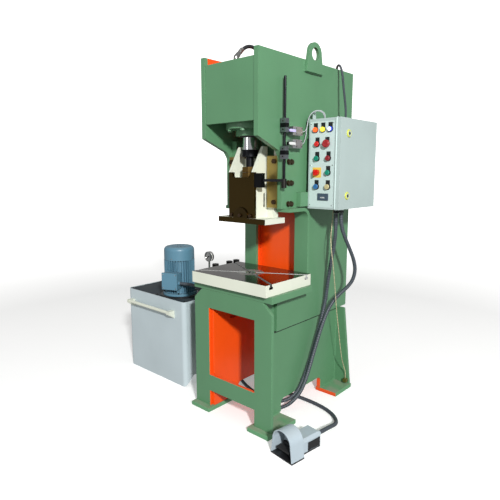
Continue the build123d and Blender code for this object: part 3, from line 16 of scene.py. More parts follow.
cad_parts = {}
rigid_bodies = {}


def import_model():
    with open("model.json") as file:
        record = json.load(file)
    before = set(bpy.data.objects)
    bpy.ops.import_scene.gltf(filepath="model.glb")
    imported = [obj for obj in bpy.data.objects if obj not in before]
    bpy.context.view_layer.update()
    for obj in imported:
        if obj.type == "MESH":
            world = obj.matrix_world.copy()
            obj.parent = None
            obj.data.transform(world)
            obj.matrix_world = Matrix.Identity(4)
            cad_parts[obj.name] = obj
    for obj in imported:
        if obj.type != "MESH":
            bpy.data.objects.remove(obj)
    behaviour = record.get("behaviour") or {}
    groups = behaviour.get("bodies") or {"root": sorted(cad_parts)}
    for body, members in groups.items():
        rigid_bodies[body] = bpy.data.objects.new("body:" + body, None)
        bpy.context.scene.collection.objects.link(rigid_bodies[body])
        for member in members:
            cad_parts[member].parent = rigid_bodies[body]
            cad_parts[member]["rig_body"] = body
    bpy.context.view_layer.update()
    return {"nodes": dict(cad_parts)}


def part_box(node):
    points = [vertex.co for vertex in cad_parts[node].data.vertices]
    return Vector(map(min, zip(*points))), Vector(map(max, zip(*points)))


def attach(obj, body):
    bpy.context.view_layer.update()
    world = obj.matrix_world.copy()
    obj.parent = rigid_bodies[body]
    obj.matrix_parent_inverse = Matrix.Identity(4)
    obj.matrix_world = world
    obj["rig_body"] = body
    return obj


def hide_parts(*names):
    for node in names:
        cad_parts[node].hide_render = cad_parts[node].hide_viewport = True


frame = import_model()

bl_info = {
    "name": "C-frame press finish",
    "version": (1, 0, 0),
    "blender": (4, 5, 0),
    "location": "View3D > Sidebar > Press",
    "description": "Paint, bare metal, cords and small fittings around a packed C-frame hydraulic press",
    "category": "Object",
}

MM = 0.001

X_AXIS = Vector((1, 0, 0))
Y_AXIS = Vector((0, 1, 0))
Z_AXIS = Vector((0, 0, 1))


@functools.cache
def corners(node):
    """A node's lowest and highest corners."""
    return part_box(node)


def low(node):
    """A node's lowest corner."""
    return corners(node)[0]


def high(node):
    """A node's highest corner."""
    return corners(node)[1]


def middle(node):
    """The middle of a node's box."""
    return (low(node) + high(node)) / 2


# Places that several pieces share
CENTRE_X = middle("table").x
HEAD_FRONT = low("side_plate_left").y
HEAD_PLATE_BACK = high("head_front_plate").y
WEB_FRONT = low("column_web").y
MOUNT_LOW = low("cylinder_mount_plate").z
THROAT_TOP = high("throat_flanges").z
PLATE_OUTER = high("side_plate_right").x - CENTRE_X
WALL_OUTER = high("base_side_plates").x - CENTRE_X
BASE_MIDDLE_Y = middle("base_end_plates").y
PANEL_LOW = low("panel_box")
PANEL_FRONT = low("panel_door").y
PANEL_BOTTOM = low("panel_door").z
PANEL_TOP = high("panel_door").z
PANEL_HEIGHT = (PANEL_TOP - PANEL_BOTTOM) / MM
DOOR_OUTER = high("panel_door").x
TANK_FRONT = low("tank_lid").y - 6 * MM

# Heights where one finish gives way to another
WEB_COAT_TOP = high("guide_gibs").z - 10 * MM
EAR_FOOT = PANEL_TOP - 6 * MM
EAR_TOP = PANEL_TOP + 89 * MM
ROD_THREAD_TOP = high("slide_body").z - 17 * MM


def spot(x, y, z):
    """A point in the machine's own millimetres, from its centre plane, its head's front and the floor."""
    return Vector((CENTRE_X + x * MM, HEAD_FRONT + y * MM, z * MM))


def srgb(red, green, blue):
    """A linear colour from its everyday 0 to 255 values."""
    def linear(value):
        value = value / 255
        return value / 12.92 if value <= 0.04045 else ((value + 0.055) / 1.055) ** 2.4
    return tuple(linear(value) for value in (red, green, blue))


def toned(colour, amount):
    """A colour made lighter or darker."""
    return tuple(min(1.0, value * amount) for value in colour)


def tint(name, description, *values):
    """A colour that a user may change."""
    return FloatVectorProperty(name=name, description=description, subtype="COLOR", size=3, min=0, max=1,
                               default=srgb(*values))


def size(name, description, millimetres):
    """A length that a user may change."""
    return FloatProperty(name=name, description=description, unit="LENGTH", min=0,
                         default=millimetres * MM)


class PressColours(bpy.types.PropertyGroup):
    """Colours of the paints and plastics."""

    enamel: tint("Enamel", "Green enamel on the outside of the frame", 87, 134, 97)
    guard: tint("Inside", "Orange enamel inside the frame", 232, 80, 14)
    cream: tint("Cream", "Cream enamel on the slide and on the table's sides", 215, 219, 203)
    panel: tint("Panel", "Textured grey of the control panel", 170, 186, 183)
    tank: tint("Tank", "Pale grey of the oil tank", 186, 199, 203)
    lid: tint("Lid", "Dark blue-grey of the tank's lid", 46, 57, 64)
    motor: tint("Motor", "Blue of the motor", 84, 126, 146)
    pedal: tint("Pedal", "Pale grey of the foot pedal", 171, 185, 193)
    conduit: tint("Conduit", "Dark grey of the flexible conduits", 66, 73, 80)
    earth: tint("Earth", "Beige sheath of the earth wire", 186, 176, 142)


class PressSizes(bpy.types.PropertyGroup):
    """Small sizes of the finish."""

    plate_edge: size("Plate edge", "Easing of the edges of thick plates", 2.5)
    sheet_edge: size("Sheet edge", "Easing of the edges of bent sheet", 1.5)
    fine_edge: size("Fine edge", "Easing of the edges of small pieces", 0.8)
    weld: size("Weld", "Radius of the weld beads", 5)
    screw: size("Screw", "Radius of the small screw heads", 4)


class PressStage(bpy.types.PropertyGroup):
    """Camera, lights and floor."""

    lens: FloatProperty(name="Lens", description="Focal length", unit="CAMERA", default=33.54)
    place: FloatVectorProperty(name="Camera", description="Where the camera stands", subtype="TRANSLATION",
                               default=(2.059907, -2.200911, 1.4193))
    turn: FloatVectorProperty(name="Aim", description="How the camera is turned", subtype="EULER",
                              default=(math.radians(80.6), 0, math.radians(41.8)))
    key: FloatProperty(name="Key", description="Power of the key light", unit="POWER", default=790)
    fill: FloatProperty(name="Fill", description="Power of the fill light", unit="POWER", default=22)
    sky: FloatProperty(name="Sky", description="Strength of the light from all round", default=0.4)
    key_width: size("Key width", "Width of the key light", 550)
    fill_width: size("Fill width", "Width of the fill light", 1200)
    glow: FloatProperty(name="Backdrop", description="Light given by the backdrop", default=1.2)
    floor: tint("Floor", "Colour of the floor and the backdrop", 246, 246, 245)


class Wire:
    """An output socket of a material; arithmetic on it adds Math nodes."""

    def __init__(self, graph, socket):
        self.graph = graph
        self.socket = socket

    def math(self, operation, *values):
        """A Math node on these values."""
        return self.graph.add("ShaderNodeMath", {"operation": operation}, dict(enumerate(values)))

    def __add__(self, other):
        return self.math("ADD", self, other)

    def __sub__(self, other):
        return self.math("SUBTRACT", self, other)

    def __rsub__(self, other):
        return self.math("SUBTRACT", other, self)

    def __mul__(self, other):
        return self.math("MULTIPLY", self, other)

    __radd__ = __add__
    __rmul__ = __mul__

    def sine(self):
        """The sine of the value."""
        return self.math("SINE", self)


class Graph:
    """The nodes of one material."""

    def __init__(self, name):
        self.material = bpy.data.materials.new(name)
        self.material.use_nodes = True
        self.tree = self.material.node_tree
        self.shader = self.tree.nodes["Principled BSDF"]

    def put(self, socket, value):
        """Links a wire to a socket, or sets the socket's own value."""
        if isinstance(value, Wire):
            self.tree.links.new(value.socket, socket)
        elif socket.type == "RGBA" and len(value) == 3:
            socket.default_value = (*value, 1)
        else:
            socket.default_value = value

    def add(self, kind, settings=None, sockets=None, output=0):
        """Makes a node, sets it up, fills its sockets and gives one of its outputs."""
        node = self.tree.nodes.new(kind)
        for key, value in (settings or {}).items():
            setattr(node, key, value)
        for key, value in (sockets or {}).items():
            self.put(node.inputs[key], value)
        return Wire(self, node.outputs[output])

    def coordinates(self, stretch=(1, 1, 1)):
        """The object's coordinates on the surface, stretched along the axes."""
        vector = self.add("ShaderNodeTexCoord", output="Object")
        return self.add("ShaderNodeMapping", None, {"Vector": vector, "Scale": stretch})

    def axis(self, letter, kind="Object"):
        """One of the coordinates, or of the directions that the surface faces."""
        vector = self.add("ShaderNodeTexCoord", output=kind)
        return self.add("ShaderNodeSeparateXYZ", None, {0: vector}, letter)

    def noise(self, scale, detail=2.0, stretch=(1, 1, 1)):
        """Cloudy noise from 0 to 1."""
        sockets = {"Vector": self.coordinates(stretch), "Scale": scale, "Detail": detail}
        return self.add("ShaderNodeTexNoise", None, sockets)

    def fade(self, value, start, end):
        """A value faded from 0 at start to 1 at end."""
        return self.add("ShaderNodeMapRange", None, {0: value, 1: start, 2: end})

    def mix(self, share, first, second):
        """Two colours mixed."""
        return self.add("ShaderNodeMix", {"data_type": "RGBA"}, {0: share, 6: first, 7: second}, 2)

    def edges(self, radius):
        """How near the surface is to an edge, from 0 on a flat."""
        rounded = self.add("ShaderNodeBevel", {"samples": 4}, {"Radius": radius})
        plain = self.add("ShaderNodeNewGeometry", output="Normal")
        same = self.add("ShaderNodeVectorMath", {"operation": "DOT_PRODUCT"}, {0: rounded, 1: plain}, "Value")
        return 1 - same

    def finish(self, colour, roughness, height=None, depth=0.0002, constants=None):
        """Feeds the shader and gives the finished material."""
        sockets = {"Base Color": colour, "Roughness": roughness, **(constants or {})}
        for key, value in sockets.items():
            self.put(self.shader.inputs[key], value)
        if height is not None:
            bump = self.add("ShaderNodeBump", None, {"Strength": 1.0, "Distance": depth, "Height": height})
            self.put(self.shader.inputs["Normal"], bump)
        return self.material


DUST = srgb(150, 146, 132)
PRIMER = srgb(120, 118, 110)


def paint(name, colour, gloss=0.34, grain=260.0, grain_depth=0.00012, dust=0.25, wear=0.4, shine=0.5):
    """Sprayed enamel: cloudy tone, orange peel, dust on what faces up, chipped edges and a painted highlight
    along every edge.
    """
    graph = Graph(name)
    cloud = graph.noise(2.6, 4.0)
    tone = graph.mix(cloud, toned(colour, 0.86), toned(colour, 1.12))
    smear = graph.fade(graph.noise(7.0, 6.0, (1, 1, 0.35)), 0.52, 0.8)
    tone = graph.mix(smear * 0.16, tone, toned(colour, 0.72))
    lying = graph.fade(graph.axis("Z", "Normal"), 0.5, 0.95) * graph.fade(graph.noise(11.0, 5.0), 0.3, 0.75)
    tone = graph.mix(lying * dust, tone, DUST)
    edge = graph.edges(0.005)
    # Painted highlight: every edge is lightened evenly.
    tone = graph.mix(graph.fade(edge, 0.02, 0.25) * 0.25, tone, toned(colour, 1.35))
    chipped = graph.fade(edge * graph.noise(95.0, 5.0), 0.16, 0.2)
    tone = graph.mix(chipped * wear, tone, PRIMER)
    roughness = gloss + graph.noise(5.0, 4.0) * 0.14 + lying * 0.2
    peel = graph.noise(grain, 2.0) + graph.noise(22.0, 2.0) * 0.9
    shell = {"Specular IOR Level": shine, "Coat Weight": shine / 4, "Coat Roughness": 0.25}
    return graph.finish(tone, roughness, peel, grain_depth, shell)


def metal(name, colour, roughness=0.25, lay=(1, 1, 1), scratch=600.0, stain=0.25, depth=0.00003):
    """Machined metal: fine marks that follow the cut, slight staining and a painted highlight along every edge.
    """
    graph = Graph(name)
    marks = graph.noise(scratch, 3.0, lay)
    cloud = graph.noise(6.0, 5.0)
    tone = graph.mix(marks * 0.5, toned(colour, 0.82), toned(colour, 1.15))
    tone = graph.mix(graph.fade(cloud, 0.45, 0.75) * stain, tone, toned(colour, 0.45))
    # Painted highlight: every edge is lightened evenly.
    tone = graph.mix(graph.fade(graph.edges(0.002), 0.05, 0.3) * 0.4, tone, toned(colour, 1.5))
    gloss = roughness + marks * 0.12 + graph.fade(cloud, 0.4, 0.8) * 0.1 - 0.05
    return graph.finish(tone, gloss, marks, depth, {"Metallic": 1.0})


def plastic(name, colour, gloss=0.3, grain=900.0, depth=0.00004):
    """Moulded plastic: fine grain, slight fading, handling marks and a painted highlight along every edge."""
    graph = Graph(name)
    fade = graph.noise(30.0, 3.0)
    tone = graph.mix(fade, toned(colour, 0.8), toned(colour, 1.15))
    # Painted highlight: every edge is lightened evenly.
    tone = graph.mix(graph.fade(graph.edges(0.0015), 0.03, 0.3) * 0.3, tone, toned(colour, 1.6))
    roughness = gloss + graph.fade(graph.noise(55.0, 4.0), 0.4, 0.8) * 0.18
    return graph.finish(tone, roughness, graph.noise(grain, 2.0), depth)


def lamp(name, colour, strength):
    """A lit lens with moulded ribs."""
    graph = Graph(name)
    ribs = graph.fade((graph.axis("X") * 2600.0).sine(), -1.0, 1.0)
    glow = graph.mix(ribs, toned(colour, 0.7), toned(colour, 1.1))
    graph.put(graph.shader.inputs["Emission Color"], glow)
    return graph.finish(glow, 0.18, ribs, 0.0002, {"Emission Strength": strength})


def sheath(name, colour, pitch, depth, gloss=0.42):
    """A cord's outside: ribs across its length, darker in their grooves as painted shade, and scuffs. Its own
    map runs along and round it.
    """
    graph = Graph(name)
    along = graph.add("ShaderNodeSeparateXYZ", None, {0: graph.add("ShaderNodeTexCoord", output="UV")}, "X")
    ribs = graph.fade((along * (2 * math.pi / pitch)).sine(), -1.0, 1.0)
    scuff = graph.fade(graph.noise(70.0, 5.0), 0.45, 0.75)
    # Painted shade: the grooves between the ribs are darker.
    tone = graph.mix(ribs, toned(colour, 0.72), toned(colour, 1.08))
    tone = graph.mix(scuff * 0.35, tone, toned(colour, 1.7))
    return graph.finish(tone, gloss + scuff * 0.16, ribs, depth)


def hose_rubber(name, colour):
    """Hydraulic hose: matt rubber with the print of its wrapping."""
    graph = Graph(name)
    weave = graph.noise(420.0, 3.0)
    scuff = graph.fade(graph.noise(26.0, 6.0), 0.5, 0.8)
    tone = graph.mix(weave, toned(colour, 0.7), toned(colour, 1.2))
    tone = graph.mix(scuff * 0.3, tone, toned(colour, 2.2))
    return graph.finish(tone, 0.5 + scuff * 0.2, weave, 0.0003)


def mirror_steel(name):
    """The table's ground top: long grinding marks, a few scratches and oil stains."""
    graph = Graph(name)
    marks = graph.noise(240.0, 4.0, (0.04, 1.0, 1.0))
    oil = graph.fade(graph.noise(7.0, 6.0), 0.42, 0.72)
    fine = graph.fade(graph.noise(55.0, 6.0, (1.0, 0.08, 1.0)), 0.63, 0.7)
    tone = graph.mix(marks, srgb(84, 79, 74), srgb(112, 107, 101))
    tone = graph.mix(oil * 0.5, tone, srgb(64, 57, 48))
    tone = graph.mix(fine * 0.4, tone, srgb(205, 205, 205))
    across = graph.axis("X") - middle("table").x
    along = graph.axis("Y") - middle("table").y
    worn = graph.fade(across * across + along * along, 0.0066, 0.0058)
    tone = graph.mix(worn * 0.85, tone, graph.mix(marks, srgb(150, 152, 150), srgb(222, 224, 222)))
    roughness = 0.1 + oil * 0.1 + fine * 0.25 + marks * 0.04 + worn * 0.4
    return graph.finish(tone, roughness, marks, 0.00002, {"Metallic": 1.0})


def dial_white(name):
    """A gauge's enamelled dial, slightly yellowed."""
    graph = Graph(name)
    tone = graph.mix(graph.noise(60.0, 3.0), srgb(236, 236, 230), srgb(248, 248, 244))
    return graph.finish(tone, 0.3 + graph.noise(300.0) * 0.08)


def colour(name):
    """One of the user's colours as a plain tuple."""
    return tuple(getattr(bpy.context.scene.press_colours, name))


def sizes():
    """The user's small sizes."""
    return bpy.context.scene.press_sizes


FINISHES = {
    "enamel_green": lambda name: paint(name, colour("enamel")),
    "enamel_orange": lambda name: paint(name, colour("guard"), gloss=0.26),
    "enamel_cream": lambda name: paint(name, colour("cream"), gloss=0.32, dust=0.12),
    "panel_grey": lambda name: paint(name, colour("panel"), gloss=0.4, grain=700.0, grain_depth=0.0002,
                                     dust=0.1),
    "panel_pale": lambda name: paint(name, toned(colour("panel"), 1.3), gloss=0.36, dust=0.1),
    "tank_grey": lambda name: paint(name, colour("tank"), gloss=0.36, dust=0.15),
    "lid_dark": lambda name: paint(name, colour("lid"), gloss=0.55, dust=0.12, shine=0.15),
    "pad_green": lambda name: paint(name, toned(colour("enamel"), 1.3), gloss=0.5, dust=0.9, shine=0.25),
    "motor_blue": lambda name: paint(name, colour("motor"), gloss=0.36, grain=330.0, grain_depth=0.0003),
    "pedal_grey": lambda name: paint(name, colour("pedal"), gloss=0.38, grain=600.0, grain_depth=0.0003),
    "table_steel": mirror_steel,
    "ground_steel": lambda name: metal(name, srgb(176, 176, 174), 0.26),
    "bright_steel": lambda name: metal(name, srgb(214, 214, 212), 0.2, stain=0.1),
    "dark_steel": lambda name: metal(name, srgb(58, 56, 54), 0.36),
    # Brown ground steel: partly its own oiled colour, partly a painted reflection of dark surroundings.
    "browned_steel": lambda name: metal(name, srgb(84, 68, 36), 0.2, lay=(1, 1, 0.04), scratch=420.0,
                                        stain=0.3),
    "dark_bronze": lambda name: metal(name, srgb(76, 62, 36), 0.28),
    "bronze": lambda name: metal(name, srgb(126, 100, 56), 0.3, stain=0.4),
    "brown_bolts": lambda name: metal(name, srgb(92, 74, 58), 0.34, stain=0.5),
    "black_steel": lambda name: metal(name, srgb(40, 41, 44), 0.34, stain=0.35),
    "chrome": lambda name: metal(name, srgb(226, 228, 230), 0.1, lay=(1, 1, 0.05), stain=0.05),
    "brass": lambda name: metal(name, srgb(172, 150, 90), 0.34, lay=(1, 1, 0.06), scratch=300.0, stain=0.6),
    "cast_grey": lambda name: metal(name, srgb(196, 197, 200), 0.42, scratch=300.0, depth=0.0002),
    "black_plastic": lambda name: plastic(name, srgb(26, 27, 29)),
    "red_plastic": lambda name: plastic(name, srgb(196, 28, 22), 0.24),
    "green_plastic": lambda name: plastic(name, srgb(18, 128, 104), 0.26),
    "maroon_plastic": lambda name: plastic(name, srgb(132, 34, 42), 0.26),
    "stop_red": lambda name: plastic(name, srgb(150, 30, 38), 0.14),
    "blue_plastic": lambda name: plastic(name, srgb(46, 104, 156), 0.26),
    "cream_plastic": lambda name: plastic(name, srgb(186, 176, 130), 0.28),
    "yellow_plastic": lambda name: plastic(name, srgb(226, 192, 84), 0.3),
    "lock_yellow": lambda name: plastic(name, srgb(206, 210, 84), 0.3),
    "violet_plastic": lambda name: plastic(name, srgb(196, 186, 236), 0.26),
    "white_plastic": lambda name: plastic(name, srgb(214, 216, 214), 0.28),
    "milled_steel": lambda name: metal(name, srgb(206, 208, 206), 0.62),
    "dog_steel": lambda name: metal(name, srgb(138, 142, 148), 0.3),
    "rubber": lambda name: plastic(name, srgb(30, 30, 31), 0.6, 500.0, 0.0003),
    "lamp_red": lambda name: lamp(name, srgb(255, 96, 40), 0.9),
    "lamp_yellow": lambda name: lamp(name, srgb(255, 226, 64), 0.8),
    "lamp_white": lambda name: lamp(name, srgb(236, 240, 255), 0.7),
    "lamp_blue": lambda name: lamp(name, srgb(60, 84, 214), 0.6),
    "counter_window": lambda name: plastic(name, srgb(62, 76, 92), 0.2),
    "dial_white": dial_white,
    "conduit": lambda name: sheath(name, colour("conduit"), 0.0045, 0.0008),
    "earth_flex": lambda name: sheath(name, colour("earth"), 0.02, 0.0002, 0.5),
    "switch_flex": lambda name: sheath(name, srgb(168, 172, 176), 0.03, 0.0001),
    "hose_rubber": lambda name: hose_rubber(name, srgb(34, 36, 39)),
}


def finish(name):
    """A finish by its name, made when it is first asked for."""
    full_name = "finish_" + name
    return bpy.data.materials.get(full_name) or FINISHES[name](full_name)


MERGE = 1e-5
FLAT = math.radians(0.4)
CREASE = math.radians(32)
SMOOTH = math.radians(38)
FACING = 0.9
ASIDE = 0.5
TILTED = 0.3
LARGE_ROUND = 48
SMALL_ROUND = 32
WASHER_RIM = 1.6 * MM
WASHER_TOP = 2.2 * MM
FIGURE_DEPTH = 0.2 * MM


def coat(node, name):
    """Gives a CAD node that is shown as it is a finish."""
    for slot in frame["nodes"][node].material_slots:
        slot.material = finish(name)


def piece(name, bm, body, *finishes, slot=None, stands_for=()):
    """Writes a bmesh as a named piece that rides a body."""
    mesh = bpy.data.meshes.new(name)
    bm.to_mesh(mesh)
    bm.free()
    if "custom_normal" in mesh.attributes:
        mesh.attributes.remove(mesh.attributes["custom_normal"])
    mesh.shade_smooth()
    mesh.set_sharp_from_angle(angle=SMOOTH)
    for finish_name in finishes:
        mesh.materials.append(finish(finish_name))
    made = bpy.data.objects.new(name, mesh)
    bpy.context.scene.collection.objects.link(made)
    made.modifiers.new("even_normals", "WEIGHTED_NORMAL").keep_sharp = True
    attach(made, body)
    if stands_for:
        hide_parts(*stands_for)
    return made


def ease(bm, edge):
    """Eases every sharp edge of what is in hand."""
    sharp = [line for line in bm.edges if line.is_manifold and line.calc_face_angle() > CREASE]
    bmesh.ops.bevel(bm, geom=sharp, offset=edge, offset_type="OFFSET", affect="EDGES", segments=2,
                    profile=0.5, material=-1, clamp_overlap=True)


def eased(node, edge, coating, cuts=()):
    """A copy of a CAD node with its flat faces made whole and its edges eased, which stands for it.

    The coating is a finish's name, or a function that names a face's finish from its middle and its facing.
    """
    source = frame["nodes"][node]
    bm = bmesh.new()
    bm.from_mesh(source.data)
    bmesh.ops.remove_doubles(bm, verts=bm.verts, dist=MERGE)
    bmesh.ops.dissolve_limit(bm, angle_limit=FLAT, verts=bm.verts, edges=bm.edges)
    for point, direction in cuts:
        everything = bm.verts[:] + bm.edges[:] + bm.faces[:]
        bmesh.ops.bisect_plane(bm, geom=everything, dist=MERGE, plane_co=point, plane_no=direction)
    finishes = []
    for face in bm.faces:
        name = coating(face.calc_center_median(), face.normal) if callable(coating) else coating
        if name not in finishes:
            finishes.append(name)
        face.material_index = finishes.index(name)
    ease(bm, edge)
    slot = source.material_slots[0].material.name
    return piece("eased_" + node, bm, source["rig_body"], *finishes, slot=slot, stands_for=(node,))


def level_cut(height):
    """A cut across a piece at a height."""
    return Vector((0, 0, height)), Z_AXIS


def depth_cut(depth):
    """A cut across a piece from side to side."""
    return Vector((0, depth, 0)), Y_AXIS


def flank_cuts(reach):
    """Two upright cuts at a distance from the centre plane."""
    return [(Vector((CENTRE_X + side * reach, 0, 0)), X_AXIS) for side in (-1, 1)]


def turn_to(direction):
    """The turn from Z to a direction."""
    return Z_AXIS.rotation_difference(direction).to_matrix().to_4x4()


def block(bm, corner, opposite):
    """Adds a box between two corners."""
    centre = (corner + opposite) / 2
    spans = opposite - corner
    place = Matrix.Translation(centre) @ Matrix.Diagonal((abs(spans.x), abs(spans.y), abs(spans.z), 1))
    bmesh.ops.create_cube(bm, size=1, matrix=place)


def hexagon(bm, base, direction, radius, tip, length):
    """Adds a six-sided bar, straight or tapered, on a base point."""
    place = Matrix.Translation(base + direction * length / 2) @ turn_to(direction)
    bmesh.ops.create_cone(bm, cap_ends=True, segments=6, radius1=radius, radius2=tip, depth=length,
                          matrix=place)


def join(bm, part, place):
    """Adds a shape that was made at the origin to what is in hand, moved by a matrix."""
    bmesh.ops.transform(part, matrix=place, verts=part.verts)
    scratch = bpy.data.meshes.new("part")
    part.to_mesh(scratch)
    part.free()
    bm.from_mesh(scratch)
    bpy.data.meshes.remove(scratch)


def profile(*pairs):
    """An outline in metres from pairs of radius and height in millimetres."""
    return [(radius * MM, height * MM) for radius, height in pairs]


def turned(bm, outline, base, direction, steps=24):
    """Adds a shape turned from an outline of radius and height pairs, on a base point."""
    part = bmesh.new()
    points = [part.verts.new((radius, 0, height)) for radius, height in outline]
    lines = [part.edges.new(pair) for pair in zip(points, points[1:])]
    bmesh.ops.spin(part, geom=points + lines, cent=(0, 0, 0), axis=(0, 0, 1), angle=2 * math.pi, steps=steps,
                   use_merge=True)
    bmesh.ops.remove_doubles(part, verts=part.verts, dist=MERGE / 10)
    bmesh.ops.recalc_face_normals(part, faces=part.faces)
    join(bm, part, Matrix.Translation(base) @ turn_to(direction))


def screw(bm, base, direction, radius):
    """Adds a socket screw's head."""
    outline = ((0, 0.25), (0.5, 0.25), (0.5, 0.75), (0.82, 0.75), (1, 0.57), (1, 0), (0, 0))
    turned(bm, [(radius * across, radius * up) for across, up in outline], base, direction, 18)


def washer(bm, base, direction, radius):
    """Adds a flat washer under a bolt's head."""
    outline = ((0, 0), (radius, 0), (radius, WASHER_RIM), (radius * 0.9, WASHER_TOP), (0, WASHER_TOP))
    turned(bm, outline, base, direction)


def hex_head(bm, base, direction, radius, height):
    """Adds a hexagon head with its chamfered top."""
    flats = height * 0.82
    hexagon(bm, base, direction, radius, radius, flats)
    hexagon(bm, base + direction * flats, direction, radius, radius * 0.84, height - flats)


def ferrule(bm, base, direction, radius, length):
    """Adds a crimped hose end: a hexagon nut and a sleeve with pressed rings."""
    nut = length * 0.34
    hexagon(bm, base, direction, radius * 1.32, radius * 1.32, nut)
    ring = (length - nut) / 6
    outline = [(0, 0), (radius * 1.12, 0)]
    for index in range(6):
        outline += [(radius * 1.22, ring * (index + 0.25)), (radius * 1.22, ring * (index + 0.7)),
                    (radius * 1.08, ring * (index + 1))]
    turned(bm, [*outline, (0, length - nut)], base + direction * nut, direction)


def bead(bm, start, end, radius):
    """Adds a rippled weld bead along a line."""
    run = end - start
    ripple = radius * 0.9
    steps = max(4, round(run.length / ripple))
    part = bmesh.new()
    bmesh.ops.create_cone(part, cap_ends=True, segments=8, radius1=radius, radius2=radius, depth=run.length)
    along = [line for line in part.edges if abs((line.verts[0].co - line.verts[1].co).z) > run.length / 2]
    bmesh.ops.subdivide_edges(part, edges=along, cuts=steps, use_grid_fill=True)
    for vert in part.verts:
        swell = 1 + 0.16 * math.sin(vert.co.z / ripple * math.pi)
        vert.co.x *= swell
        vert.co.y *= swell
    join(bm, part, Matrix.Translation((start + end) / 2) @ turn_to(run.normalized()))


def shape_of(curve):
    """A curve or a text made a mesh in hand."""
    holder = bpy.data.objects.new("holder", curve)
    mesh = bpy.data.meshes.new_from_object(holder)
    bpy.data.objects.remove(holder)
    bm = bmesh.new()
    bm.from_mesh(mesh)
    bpy.data.meshes.remove(mesh)
    return bm


def lettered(name, text, height, place, body, finish_name):
    """Flat figures as a mesh, put in place by a matrix."""
    words = bpy.data.curves.new(name, "FONT")
    words.body = text
    words.size = height
    words.extrude = FIGURE_DEPTH
    words.align_x = "CENTER"
    words.align_y = "CENTER"
    bm = shape_of(words)
    bpy.data.curves.remove(words)
    bmesh.ops.transform(bm, matrix=place, verts=bm.verts)
    return piece(name, bm, body, finish_name)


class PressStep:
    """What the operators share."""

    bl_options = {"REGISTER", "UNDO"}


# Stage: lights in the machine's own millimetres, the sensor in millimetres, the floor in metres
KEY_PLACE = (5840, -4100, 4250)
FILL_PLACE = (-300, -6000, 1900)
LIGHT_AIM = (0, 300, 1000)
SENSOR_WIDTH = 36
SWEEP_REACH = 24
SWEEP_RADIUS = 3
SWEEP_HEIGHT = 12
SWEEP_BEND_STEPS = 16
SWEEP_ROUND_STEPS = 96
PALE_FROM = 3
PALE_TO = 8
FLOOR_LIFT = 0.22


class PRESS_OT_stage(PressStep, bpy.types.Operator):
    """Set the floor, the lights and the camera"""

    bl_idname = "press.stage"
    bl_label = "Stage"

    def execute(self, context):
        stage = context.scene.press_stage
        self.sweep(context, stage)
        self.light(context, "key", stage.key, spot(*KEY_PLACE), stage.key_width)
        self.light(context, "fill", stage.fill, spot(*FILL_PLACE), stage.fill_width)
        world = bpy.data.worlds.new("studio")
        world.use_nodes = True
        world.node_tree.nodes["Background"].inputs["Color"].default_value = (1, 1, 1, 1)
        world.node_tree.nodes["Background"].inputs["Strength"].default_value = stage.sky
        context.scene.world = world
        lens = bpy.data.cameras.new("camera")
        lens.sensor_width = SENSOR_WIDTH
        lens.lens = stage.lens
        camera = bpy.data.objects.new("camera", lens)
        camera.location = stage.place
        camera.rotation_euler = stage.turn
        context.scene.collection.objects.link(camera)
        context.scene.camera = camera
        context.scene.view_settings.view_transform = "Standard"
        return {"FINISHED"}

    def sweep(self, context, stage):
        """A plain pale floor that curves up into a backdrop all round the press."""
        bm = bmesh.new()
        rim = self.drawn(bm, bm.verts.new((0, 0, 0)), (SWEEP_REACH, 0, 0))
        bend = bmesh.ops.spin(bm, geom=[rim], cent=(SWEEP_REACH, 0, SWEEP_RADIUS), axis=(0, 1, 0),
                              angle=-math.pi / 2, steps=SWEEP_BEND_STEPS)["geom_last"]
        self.drawn(bm, bend[0], (0, 0, SWEEP_HEIGHT))
        bmesh.ops.spin(bm, geom=bm.verts[:] + bm.edges[:], cent=(0, 0, 0), axis=(0, 0, 1), angle=2 * math.pi,
                       steps=SWEEP_ROUND_STEPS, use_merge=True)
        bmesh.ops.remove_doubles(bm, verts=bm.verts, dist=MERGE)
        bmesh.ops.recalc_face_normals(bm, faces=bm.faces)
        mesh = bpy.data.meshes.new("floor")
        bm.to_mesh(mesh)
        bm.free()
        mesh.shade_smooth()
        graph = Graph("floor_pale")
        tone = graph.mix(graph.noise(1.5, 3.0), toned(tuple(stage.floor), 0.98), tuple(stage.floor))
        away = graph.add("ShaderNodeVectorMath", {"operation": "LENGTH"}, {0: graph.coordinates()}, "Value")
        far_off = graph.fade(away, PALE_FROM, PALE_TO)
        lift = graph.mix(far_off, toned(tuple(stage.floor), FLOOR_LIFT), tuple(stage.floor))
        graph.put(graph.shader.inputs["Emission Color"], lift)
        mesh.materials.append(graph.finish(tone, 0.8, constants={"Emission Strength": stage.glow}))
        floor = bpy.data.objects.new("floor", mesh)
        floor.visible_diffuse = False
        floor.visible_glossy = False
        context.scene.collection.objects.link(floor)

    def drawn(self, bm, point, run):
        """Draws a line from a point along a run, and gives its far end."""
        far = bmesh.ops.extrude_vert_indiv(bm, verts=[point])["verts"]
        bmesh.ops.translate(bm, vec=run, verts=far)
        return far[0]

    def light(self, context, name, power, place, width):
        """Adds a square soft light aimed at the press."""
        lamp_data = bpy.data.lights.new(name, "AREA")
        lamp_data.energy = power
        lamp_data.size = width
        holder = bpy.data.objects.new(name, lamp_data)
        holder.location = place
        holder.rotation_euler = (spot(*LIGHT_AIM) - place).to_track_quat("-Z", "Y").to_euler()
        context.scene.collection.objects.link(holder)


